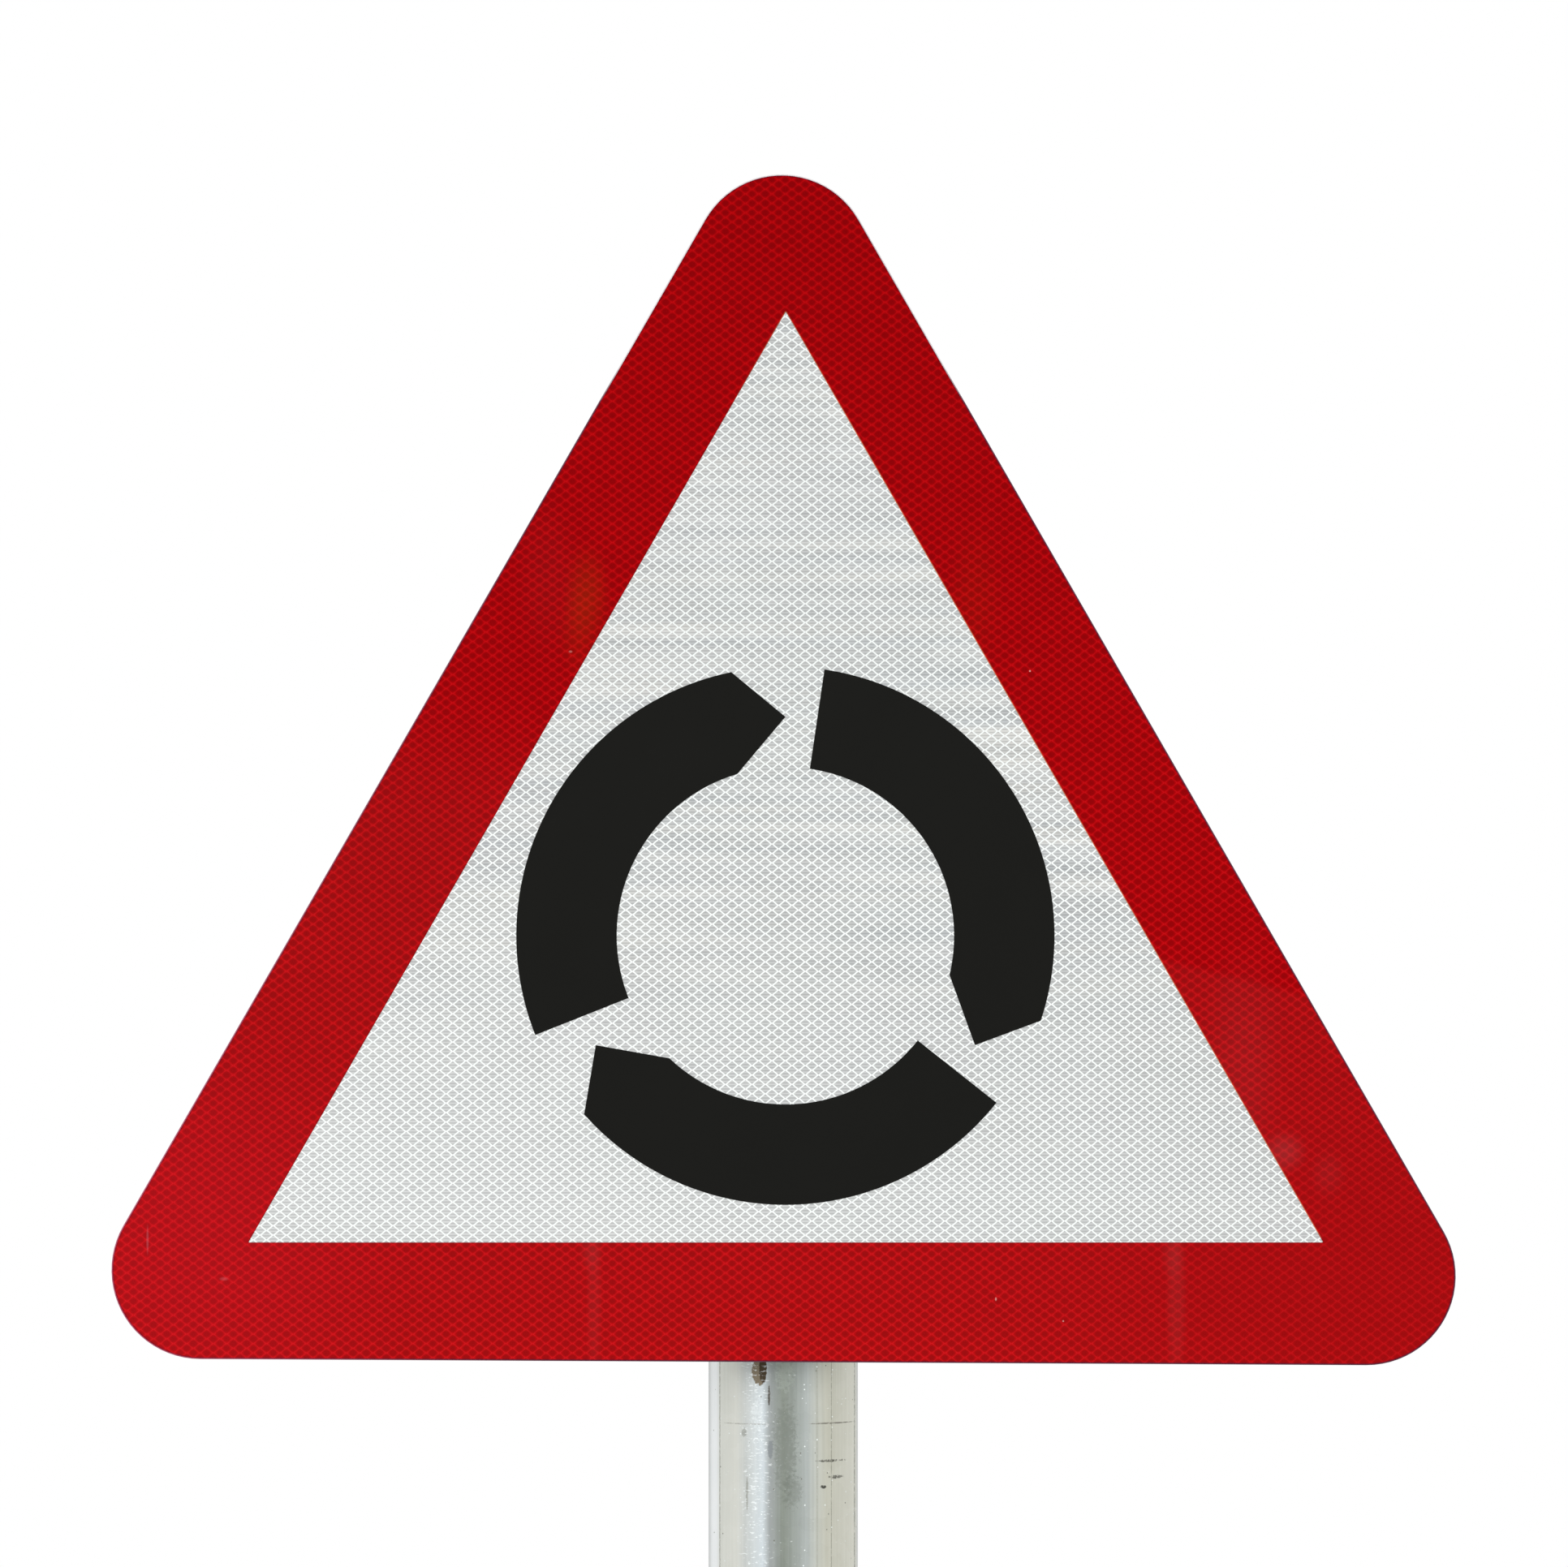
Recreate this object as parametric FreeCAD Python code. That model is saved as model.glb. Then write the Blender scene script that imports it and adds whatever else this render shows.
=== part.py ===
import FreeCAD, Part
import math
import os

# Roundabout warning sign on a tubular post, in millimetres.
# X runs to the right as the sign is read, Y away from the reader, Z up.
# The origin is on the post's axis, at the foot of the post.

# Sign plate: a triangle with rounded corners, whose lower edge was cut a little out of level.
# It hangs slightly off the post's centre line, and its artwork slightly off its own centre.
SIGN_HEIGHT = 600.0
CORNER_RADIUS = 45.0
LOWER_EDGE_FALL = 0.3
PLATE_THICKNESS = 3.0
PLATE_EDGE_BREAK = 0.4
PLATE_SHIFT_X = -0.7
CLEAR_HEIGHT = 900.0

# Face of the plate: white sheeting, with the red border and the black arrows as films on it
SHEETING_THICKNESS = 0.4
SHEETING_MARGIN = 0.2
FILM_THICKNESS = 0.2
BORDER_WIDTH = 58.3
BORDER_SHIFT_X = 2.0
BORDER_SHIFT_Z = 2.2
ARROW_SHIFT_X = 1.8
ARROW_SHIFT_Z = 0.4
ARROW_SIDE_GAP = 20.8
ARROW_BAND = 50.7
ARROW_NAMES = ("left_arrow", "lower_arrow", "right_arrow")
ARROW_FIRST_TIP = 90.0
ARROW_TAIL_TO_TIP = 8.35
ARROW_OUTER_SHOULDER = 11.6
ARROW_INNER_SHOULDER = 16.6

# Post: steel tube with a moulded cap pushed over its top
POST_DIAMETER = 76.1
POST_WALL = 3.2
POST_OVERRUN = 66.0
CAP_CLEARANCE = 0.2
CAP_WALL = 2.0
CAP_SKIRT = 22.0
CAP_TOP_THICKNESS = 2.5
CAP_SHOULDER = 3.0
CAP_BEAD = 0.8
CAP_BEAD_HEIGHT = 3.0

# Sign channels: aluminium extrusions with a slot that holds the bolt heads
CHANNEL_BASE = 2.0
CHANNEL_WALL = 2.6
CHANNEL_LIP = 3.0
CHANNEL_FLANGE = 12.5
CHANNEL_HEAD_ROOM = 5.7
CHANNEL_SLOT_CLEARANCE = 0.5
CHANNEL_CORNER = 0.6
CHANNEL_ROOT = 1.2
CHANNEL_GROOVE = 0.5
CHANNEL_SIDE_MARGIN = 35.0
CHANNEL_OVERHANG = 21.0
LOWER_CHANNEL_RISE = 110.0
TAPE_THICKNESS = 1.1
TAPE_SIDE_MARGIN = 3.0
TAPE_END_MARGIN = 4.0

# Post clips: steel strip bent round the back of the post, with a flat ear each side
CLIP_WIDTH = 38.0
CLIP_THICKNESS = 3.0
CLIP_BEND_RADIUS = 4.0
CLIP_POST_GAP = 0.15
CLIP_EAR_MARGIN = 12.0
CLIP_EAR_CORNER = 6.0
CLIP_HOLE_CLEARANCE = 0.5
CHANNEL_POST_GAP = 0.1

# Fasteners: hexagon bolt 8 by 20, with the washer and the nut that go with it
BOLT_DIAMETER = 8.0
BOLT_PROTRUSION = 5.9
BOLT_HEAD_HEIGHT = 5.3
BOLT_END_CHAMFER = 0.9
HEX_SHOULDER = 2.5
HEX_HEAD_CLEARANCE = 0.4
NUT_HEIGHT = 6.5
NUT_THREAD_CLEARANCE = 0.1
WASHER_RIM = 4.0
WASHER_HOLE_CLEARANCE = 0.2
WASHER_THICKNESS = 1.6
WASHER_TO_BEND = 1.0

# Plate outline: the three sides lie at one distance from the plate's centre, and each faces
# outward at an angle, in degrees, counted from level on the right
SIDE_DISTANCE = (SIGN_HEIGHT + CORNER_RADIUS) / 3.0
CENTRE_Z = CLEAR_HEIGHT + SIDE_DISTANCE
BORDER_SIDES = (30.0, 150.0, 270.0)
PLATE_SIDES = (30.0, 150.0, 270.0 - LOWER_EDGE_FALL)
SHEETING_INSET = PLATE_EDGE_BREAK + SHEETING_MARGIN
ARROW_STEP = 360.0 / len(ARROW_NAMES)

# Fastener sizes that follow from the shank
HEX_ACROSS_FLATS = BOLT_DIAMETER + 2.0 * HEX_SHOULDER
WASHER_DIAMETER = BOLT_DIAMETER + 2.0 * WASHER_RIM

# Layers from the post forward to the reader, as places along Y
POST_RADIUS = POST_DIAMETER / 2.0
LIP_FACE = -(POST_RADIUS + CHANNEL_POST_GAP)
LIP_UNDERSIDE = LIP_FACE - CHANNEL_LIP
CAVITY_FLOOR = LIP_UNDERSIDE - BOLT_HEAD_HEIGHT - CHANNEL_HEAD_ROOM
CHANNEL_FRONT = CAVITY_FLOOR - CHANNEL_BASE
PLATE_BACK = CHANNEL_FRONT - TAPE_THICKNESS
PLATE_FRONT = PLATE_BACK - PLATE_THICKNESS
SHEETING_FRONT = PLATE_FRONT - SHEETING_THICKNESS
FILM_FRONT = SHEETING_FRONT - FILM_THICKNESS

# Layers behind the channel's lips, as places along Y
EAR_BACK = LIP_FACE + CLIP_THICKNESS
WASHER_BACK = EAR_BACK + WASHER_THICKNESS
NUT_BACK = WASHER_BACK + NUT_HEIGHT
BOLT_END = NUT_BACK + BOLT_PROTRUSION

# Clips: the strip's two faces, and how far out the bolts and the ears reach
CLIP_INNER = POST_RADIUS + CLIP_POST_GAP
CLIP_OUTER = CLIP_INNER + CLIP_THICKNESS
BOLT_X = CLIP_OUTER + CLIP_BEND_RADIUS + WASHER_TO_BEND + WASHER_DIAMETER / 2.0
EAR_END = BOLT_X + CLIP_EAR_MARGIN

# Channels: the upper one sits where its clip just fits between the sloping sides
CAVITY_HALF = HEX_ACROSS_FLATS / 2.0 + HEX_HEAD_CLEARANCE
BOX_HALF = CAVITY_HALF + CHANNEL_WALL
CHANNEL_HALF = BOX_HALF + CHANNEL_FLANGE
UPPER_CHANNEL_LENGTH = 2.0 * (EAR_END + CHANNEL_OVERHANG)
UPPER_REACH = UPPER_CHANNEL_LENGTH / 2.0 + CHANNEL_SIDE_MARGIN
UPPER_CHANNEL_Z = CLEAR_HEIGHT + 3.0 * SIDE_DISTANCE - math.sqrt(3.0) * UPPER_REACH - CHANNEL_HALF
LOWER_CHANNEL_Z = CLEAR_HEIGHT + LOWER_CHANNEL_RISE
LOWER_REACH = (3.0 * SIDE_DISTANCE - LOWER_CHANNEL_RISE - CHANNEL_HALF) / math.sqrt(3.0)
LOWER_CHANNEL_LENGTH = 2.0 * (LOWER_REACH - CHANNEL_SIDE_MARGIN)
CHANNELS = {
    "upper": (UPPER_CHANNEL_Z, UPPER_CHANNEL_LENGTH),
    "lower": (LOWER_CHANNEL_Z, LOWER_CHANNEL_LENGTH),
}
BOLT_SIDES = {"left": -BOLT_X, "right": BOLT_X}

# The post runs on past the upper channel, hidden behind the plate
POST_TOP = UPPER_CHANNEL_Z + CHANNEL_HALF + POST_OVERRUN + CAP_SKIRT


def front(y):
    """Places a drawing (across, up) in the plane at y, as the reader of the sign sees it."""
    return lambda across, up: FreeCAD.Vector(across, y, up)


def on_plate(y, shift_x=0.0, shift_z=0.0):
    """Places a drawing (across, up) about the plate's centre, moved by the shifts."""
    centre_x = PLATE_SHIFT_X + shift_x
    centre_z = CENTRE_Z + shift_z
    return lambda across, up: FreeCAD.Vector(centre_x + across, y, centre_z + up)


def plan(z):
    """Places a drawing (across, back) in the level plane at z."""
    return lambda across, back: FreeCAD.Vector(across, back, z)


def end_on(x):
    """Places a drawing (back, up) in the upright plane at x."""
    return lambda back, up: FreeCAD.Vector(x, back, up)


def upright(radius, up):
    """Places a half section (radius, up) beside the post's axis."""
    return FreeCAD.Vector(radius, 0.0, up)


def rounded_face(corners, place):
    """Face inside the corners (a, b, radius), where a radius above zero makes a tangent arc."""
    starts, mids, ends = [], [], []
    for index, (a, b, radius) in enumerate(corners):
        corner = FreeCAD.Vector(a, b, 0.0)
        before = corners[index - 1]
        after = corners[(index + 1) % len(corners)]
        back = (FreeCAD.Vector(before[0], before[1], 0.0) - corner).normalize()
        ahead = (FreeCAD.Vector(after[0], after[1], 0.0) - corner).normalize()
        half = back.getAngle(ahead) / 2.0
        inward = (back + ahead).normalize()
        starts.append(corner + back * (radius / math.tan(half)))
        ends.append(corner + ahead * (radius / math.tan(half)))
        mids.append(corner + inward * (radius / math.sin(half) - radius))
    edges = []
    for index, (a, b, radius) in enumerate(corners):
        start, mid, end = [place(p.x, p.y) for p in (starts[index], mids[index], ends[index])]
        following = starts[(index + 1) % len(corners)]
        if radius > 0.0:
            edges.append(Part.Arc(start, mid, end).toShape())
        if (following - ends[index]).Length > 1e-6:
            edges.append(Part.LineSegment(end, place(following.x, following.y)).toShape())
    return Part.Face(Part.Wire(edges))


def triangle_corners(sides, distance, radius):
    """Corners of the triangle whose sides face the given angles at one distance from the centre."""
    corners = []
    for index, side in enumerate(sides):
        here = math.radians(side)
        there = math.radians(sides[(index + 1) % len(sides)])
        turn = math.sin(there - here)
        across = distance * (math.sin(there) - math.sin(here)) / turn
        up = distance * (math.cos(here) - math.cos(there)) / turn
        corners.append((across, up, radius))
    return corners


def plate_outline(inset, y):
    """The plate's outline, drawn in by the inset, as a face in the plane at y."""
    radius = max(CORNER_RADIUS - inset, 0.0)
    return rounded_face(triangle_corners(PLATE_SIDES, SIDE_DISTANCE - inset, radius), on_plate(y))


def thicken(face, thickness):
    """Solid that grows from a front-facing drawing towards the back of the sign."""
    return face.extrude(FreeCAD.Vector(0.0, thickness, 0.0))


def sign_plate():
    """Flat sheet with its two outlines broken by a small chamfer."""
    plate = thicken(plate_outline(0.0, PLATE_FRONT), PLATE_THICKNESS)
    faces = [f for f in plate.Faces if abs(f.normalAt(0, 0).y) > 0.9]
    outline = [edge for face in faces for edge in face.Edges]
    return plate.makeChamfer(min(PLATE_EDGE_BREAK, PLATE_THICKNESS / 3.0), outline)


def white_sheeting():
    """Reflective sheeting over the whole face of the plate."""
    return thicken(plate_outline(SHEETING_INSET, SHEETING_FRONT), SHEETING_THICKNESS)


def red_border():
    """Film with the sheeting's rounded outline and a sharp-cornered triangle left open."""
    film = thicken(plate_outline(SHEETING_INSET, FILM_FRONT), FILM_THICKNESS)
    opening = triangle_corners(BORDER_SIDES, SIDE_DISTANCE - BORDER_WIDTH, 0.0)
    place = on_plate(FILM_FRONT, BORDER_SHIFT_X, BORDER_SHIFT_Z)
    return film.cut(thicken(rounded_face(opening, place), FILM_THICKNESS))


def arrow(tip_angle):
    """One part of the ring, square at its tail and drawn to a point at its head."""
    outer = SIDE_DISTANCE - BORDER_WIDTH - ARROW_SIDE_GAP
    inner = outer - ARROW_BAND
    sweep = ARROW_STEP - ARROW_TAIL_TO_TIP
    place = on_plate(FILM_FRONT, ARROW_SHIFT_X, ARROW_SHIFT_Z)

    def on_ring(radius, degrees_before_tip):
        angle = math.radians(tip_angle + degrees_before_tip)
        return place(radius * math.cos(angle), radius * math.sin(angle))

    tip = on_ring((outer + inner) / 2.0, 0.0)
    outer_shoulder = on_ring(outer, ARROW_OUTER_SHOULDER)
    inner_shoulder = on_ring(inner, ARROW_INNER_SHOULDER)
    outer_tail = on_ring(outer, sweep)
    inner_tail = on_ring(inner, sweep)
    outer_middle = on_ring(outer, (ARROW_OUTER_SHOULDER + sweep) / 2.0)
    inner_middle = on_ring(inner, (ARROW_INNER_SHOULDER + sweep) / 2.0)
    outline = Part.Wire([
        Part.LineSegment(tip, outer_shoulder).toShape(),
        Part.Arc(outer_shoulder, outer_middle, outer_tail).toShape(),
        Part.LineSegment(outer_tail, inner_tail).toShape(),
        Part.Arc(inner_tail, inner_middle, inner_shoulder).toShape(),
        Part.LineSegment(inner_shoulder, tip).toShape(),
    ])
    return thicken(Part.Face(outline), FILM_THICKNESS)


def channel_section():
    """Upper half of the channel's section, from the hollow out to the flange, as (back, up)."""
    slot = BOLT_DIAMETER / 2.0 + CHANNEL_SLOT_CLEARANCE
    groove = (BOX_HALF + CHANNEL_HALF) / 2.0
    cavity_corner = min(CHANNEL_CORNER, HEX_HEAD_CLEARANCE)
    lip_corner = min(CHANNEL_CORNER, 0.4 * CHANNEL_LIP)
    flange_corner = min(CHANNEL_CORNER, 0.4 * CHANNEL_BASE)
    return [
        (CAVITY_FLOOR, CAVITY_HALF, cavity_corner),
        (LIP_UNDERSIDE, CAVITY_HALF, cavity_corner),
        (LIP_UNDERSIDE, slot, lip_corner),
        (LIP_FACE, slot, lip_corner),
        (LIP_FACE, BOX_HALF, CHANNEL_ROOT),
        (CAVITY_FLOOR, BOX_HALF, CHANNEL_ROOT),
        (CAVITY_FLOOR, groove - CHANNEL_GROOVE, 0.0),
        (CAVITY_FLOOR - CHANNEL_GROOVE, groove, 0.0),
        (CAVITY_FLOOR, groove + CHANNEL_GROOVE, 0.0),
        (CAVITY_FLOOR, CHANNEL_HALF, flange_corner),
        (CHANNEL_FRONT, CHANNEL_HALF, flange_corner),
    ]


def channel(height, length):
    """Extrusion with a hollow for the bolt heads, a slot between two lips and two flanges."""
    upper_half = channel_section()
    lower_half = [(back, -up, radius) for back, up, radius in reversed(upper_half)]
    corners = [(back, height + up, radius) for back, up, radius in upper_half + lower_half]
    section = rounded_face(corners, end_on(-length / 2.0))
    return section.extrude(FreeCAD.Vector(length, 0.0, 0.0))


def bonding_tape(height, length):
    """Strip of foam tape between a channel and the back of the plate."""
    reach = length / 2.0 - TAPE_END_MARGIN
    half = CHANNEL_HALF - TAPE_SIDE_MARGIN
    corners = [
        (-reach, height - half, 0.0),
        (reach, height - half, 0.0),
        (reach, height + half, 0.0),
        (-reach, height + half, 0.0),
    ]
    return thicken(rounded_face(corners, front(PLATE_BACK)), TAPE_THICKNESS)


def post_clip(height):
    """Strip bent round the post, with both ears flat on the channel's lips and drilled."""
    outer_bend = CLIP_BEND_RADIUS + CLIP_THICKNESS
    near_half = [
        (EAR_END, EAR_BACK, 0.0),
        (EAR_END, LIP_FACE, 0.0),
        (CLIP_INNER, LIP_FACE, outer_bend),
        (CLIP_INNER, CLIP_INNER, CLIP_INNER),
    ]
    far_half = [
        (CLIP_OUTER, CLIP_OUTER, CLIP_OUTER),
        (CLIP_OUTER, EAR_BACK, CLIP_BEND_RADIUS),
    ]
    corners = near_half + [(-x, y, r) for x, y, r in reversed(near_half)]
    corners += [(-x, y, r) for x, y, r in reversed(far_half)] + far_half
    strip = rounded_face(corners, plan(height - CLIP_WIDTH / 2.0))
    clip = strip.extrude(FreeCAD.Vector(0.0, 0.0, CLIP_WIDTH))
    ear_corners = [
        edge for edge in clip.Edges
        if abs(abs(edge.CenterOfMass.x) - EAR_END) < 1e-6
        and abs(edge.BoundBox.YLength - CLIP_THICKNESS) < 1e-3
    ]
    clip = clip.makeFillet(min(CLIP_EAR_CORNER, CLIP_WIDTH / 2.0 - 1.0), ear_corners)
    hole = BOLT_DIAMETER / 2.0 + CLIP_HOLE_CLEARANCE
    for bolt_x in BOLT_SIDES.values():
        clip = clip.cut(rod(hole, bolt_x, LIP_FACE, EAR_BACK, height))
    return clip


def rod(radius, x, y_from, y_to, z):
    """Cylinder along Y between two places."""
    return Part.makeCylinder(
        radius, y_to - y_from, FreeCAD.Vector(x, y_from, z), FreeCAD.Vector(0.0, 1.0, 0.0)
    )


def hexagon(x, y_from, y_to, z):
    """Hexagonal bar along Y with two flats level, so that it can't turn between level walls."""
    corner = HEX_ACROSS_FLATS / math.sqrt(3.0)
    corners = []
    for step in range(6):
        angle = math.radians(60.0 * step)
        corners.append((x + corner * math.cos(angle), z + corner * math.sin(angle), 0.0))
    return thicken(rounded_face(corners, front(y_from)), y_to - y_from)


def bolt(x, height):
    """Hexagon bolt with its head held under the channel's lips and its end chamfered."""
    head = hexagon(x, LIP_UNDERSIDE - BOLT_HEAD_HEIGHT, LIP_UNDERSIDE, height)
    shank = rod(BOLT_DIAMETER / 2.0, x, LIP_UNDERSIDE, BOLT_END, height)
    end = [edge for edge in shank.Edges if abs(edge.CenterOfMass.y - BOLT_END) < 1e-6]
    return head.fuse(shank.makeChamfer(BOLT_END_CHAMFER, end))


def washer(x, height):
    """Flat washer on the back of a clip's ear."""
    disc = rod(WASHER_DIAMETER / 2.0, x, EAR_BACK, WASHER_BACK, height)
    hole = BOLT_DIAMETER / 2.0 + WASHER_HOLE_CLEARANCE
    return disc.cut(rod(hole, x, EAR_BACK, WASHER_BACK, height))


def nut(x, height):
    """Hexagon nut on the washer."""
    body = hexagon(x, WASHER_BACK, NUT_BACK, height)
    bore = BOLT_DIAMETER / 2.0 + NUT_THREAD_CLEARANCE
    return body.cut(rod(bore, x, WASHER_BACK, NUT_BACK, height))


def post_tube():
    """Plain tube from the foot to the cap."""
    tube = Part.makeCylinder(POST_RADIUS, POST_TOP)
    return tube.cut(Part.makeCylinder(POST_RADIUS - POST_WALL, POST_TOP))


def post_cap():
    """Cap with a sloped shoulder and a small bead round its mouth, turned about the post's axis."""
    inner = POST_RADIUS + CAP_CLEARANCE
    outer = inner + CAP_WALL
    top = POST_TOP + CAP_TOP_THICKNESS
    bottom = POST_TOP - CAP_SKIRT
    bead_top = bottom + CAP_BEAD_HEIGHT
    profile = [
        upright(0.0, top),
        upright(0.0, POST_TOP),
        upright(inner, POST_TOP),
        upright(inner, bottom),
        upright(outer + CAP_BEAD, bottom),
        upright(outer + CAP_BEAD, bead_top - CAP_BEAD),
        upright(outer, bead_top),
        upright(outer, top - CAP_SHOULDER),
        upright(outer - CAP_SHOULDER, top),
        upright(0.0, top),
    ]
    return Part.Face(Part.makePolygon(profile)).revolve(
        FreeCAD.Vector(0.0, 0.0, 0.0), FreeCAD.Vector(0.0, 0.0, 1.0), 360.0
    )


def all_pieces():
    """Every piece of the sign, by name."""
    pieces = {
        "sign_plate": sign_plate(),
        "white_sheeting": white_sheeting(),
        "red_border": red_border(),
        "post_tube": post_tube(),
        "post_cap": post_cap(),
    }
    for step, name in enumerate(ARROW_NAMES):
        pieces[name] = arrow(ARROW_FIRST_TIP + step * ARROW_STEP)
    for level, (height, length) in CHANNELS.items():
        pieces[level + "_channel"] = channel(height, length)
        pieces[level + "_bonding_tape"] = bonding_tape(height, length)
        pieces[level + "_clip"] = post_clip(height)
        for side, x in BOLT_SIDES.items():
            pieces[level + "_" + side + "_bolt"] = bolt(x, height)
            pieces[level + "_" + side + "_washer"] = washer(x, height)
            pieces[level + "_" + side + "_nut"] = nut(x, height)
    return pieces


os.makedirs("parts", exist_ok=True)
for piece_name, piece in all_pieces().items():
    piece.exportStep("parts/" + piece_name + ".step")
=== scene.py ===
import functools
import math

import bmesh
import bpy
import mathutils
import numpy as np
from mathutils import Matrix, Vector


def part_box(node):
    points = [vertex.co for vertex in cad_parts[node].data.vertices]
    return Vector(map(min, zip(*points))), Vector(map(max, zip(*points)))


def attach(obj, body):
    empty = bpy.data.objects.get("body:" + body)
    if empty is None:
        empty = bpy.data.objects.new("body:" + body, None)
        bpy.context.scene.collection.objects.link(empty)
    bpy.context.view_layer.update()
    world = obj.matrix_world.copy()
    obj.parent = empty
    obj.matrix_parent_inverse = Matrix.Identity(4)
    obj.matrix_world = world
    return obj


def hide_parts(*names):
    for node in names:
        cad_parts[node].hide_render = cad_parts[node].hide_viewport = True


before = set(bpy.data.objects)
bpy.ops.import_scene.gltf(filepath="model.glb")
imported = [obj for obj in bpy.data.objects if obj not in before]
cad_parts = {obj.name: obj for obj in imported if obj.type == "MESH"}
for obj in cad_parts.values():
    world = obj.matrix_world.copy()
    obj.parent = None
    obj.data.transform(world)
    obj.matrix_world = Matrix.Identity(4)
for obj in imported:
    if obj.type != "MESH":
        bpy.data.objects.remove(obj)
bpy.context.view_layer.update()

# Roundabout warning sign on a tubular post. Sizes are in millimetres until a mesh is made.
# X runs to the right as the sign is read, Y away from the reader, Z up from the foot of the post.

# Camera, level and square to the sign: the width of the picture at the face, and its centre
VIEW_DISTANCE = 6000.0
VIEW_WIDTH = 791.8
VIEW_CENTRE_X = 0.4
VIEW_CENTRE_Z = 1192.2
SENSOR_WIDTH = 36.0

# Plate and artwork
CORNER_RADIUS = 45.0
SIGN_HEIGHT = 600.0
SIDE_DISTANCE = (SIGN_HEIGHT + CORNER_RADIUS) / 3.0
PLATE_SIDES = (30.0, 150.0, 269.7)
BORDER_SIDES = (30.0, 150.0, 270.0)
PLATE_SHIFT_X = -0.7
PLATE_EDGE = 0.4
SHEETING_INSET = 0.6
FILM_EDGE = 0.05
BORDER_WIDTH = 58.3
BORDER_SHIFT = (2.0, 2.2)
BORDER_CUT_CORNER = 0.3
OUTLINE_BEND = 24
FILM_RINGS = (0.004, 0.01, 0.02, 0.06, 0.5, 0.94, 0.98, 0.99, 0.996)
ARROW_SHIFT = (1.8, 0.4)
ARROW_OUTER = SIDE_DISTANCE - BORDER_WIDTH - 20.8
ARROW_INNER = ARROW_OUTER - 50.7
ARROW_TAIL = 111.65
ARROW_OUTER_SHOULDER = 11.6
ARROW_INNER_SHOULDER = 16.6
ARROW_TIPS = {"left_arrow": 90.0, "lower_arrow": 210.0, "right_arrow": 330.0}

# Post and cap
POST_WALL = 3.2
POST_LIP = 0.7
CAP_WALL = 2.0
CAP_SHOULDER = 3.0
CAP_BEAD = 0.8
CAP_BEAD_HEIGHT = 3.0
CAP_CLEARANCE = 0.2
CAP_CROWN = 1.6
CAP_GATE_RADIUS = 3.0
CAP_GATE_DEPTH = 0.5

# Channels and foam tape
CHANNEL_BASE = 2.0
CHANNEL_WALL = 2.6
CHANNEL_LIP = 3.0
CHANNEL_SLOT = 9.0
CHANNEL_CAVITY = 13.8
CHANNEL_CORNER = 0.6
CHANNEL_ROOT = 1.2
CHANNEL_GROOVE = 0.5
TAPE_SOFT_EDGE = 0.5

# Clips and fasteners. The thread's crest and flank are shares of half its pitch, and the round
# face on a hexagon's end is a share of the width across its flats
CLIP_THICKNESS = 3.0
CLIP_BEND = 4.0
CLIP_POST_GAP = 0.15
CLIP_ROLLED_EDGE = 0.7
CLIP_EAR_CORNER = 6.0
CLIP_HOLE_RADIUS = 4.5
CLIP_HOLE_EDGE = 0.3
BOLT_RADIUS = 4.0
BOLT_END_CHAMFER = 0.9
THREAD_PITCH = 1.25
THREAD_DEPTH = 0.68
THREAD_CREST = 0.15
THREAD_FLANK = 0.65
THREAD_START = 0.5
HEX_ACROSS_FLATS = 13.0
HEX_CHAMFER_ANGLE = 30.0
HEX_CHAMFER_DEPTHS = np.linspace(0.0, 0.9, 7)
HEX_FACE = 0.95
HEX_SEGMENTS = 72
NUT_BORE_RADIUS = 4.1
NUT_COUNTERSINK = 0.5
WASHER_BORE_RADIUS = 4.2
WASHER_ROLLED_EDGE = 0.35

# Lattice of the sheeting, its cells, the ovals under the red film, the rows of prisms and level bars
CELL_WIDTH = 6.717
CELL_HEIGHT = 4.759
LATTICE_X = 1.05
LATTICE_Z = 1114.0
CELL_HALF_WIDTH = 2.4
CELL_HALF_HEIGHT = 2.05
OVAL_HALF_WIDTH = 2.5
OVAL_HALF_HEIGHT = 2.1
PRISM_ROW_PITCH = 1.537
PRISM_ROW_TILT = -0.0012
PRISM_ROW_START = 0.425
BAR_PITCH = 19.2
BAR_TILT = 0.0039
BAR_Z = 1150.4

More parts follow.
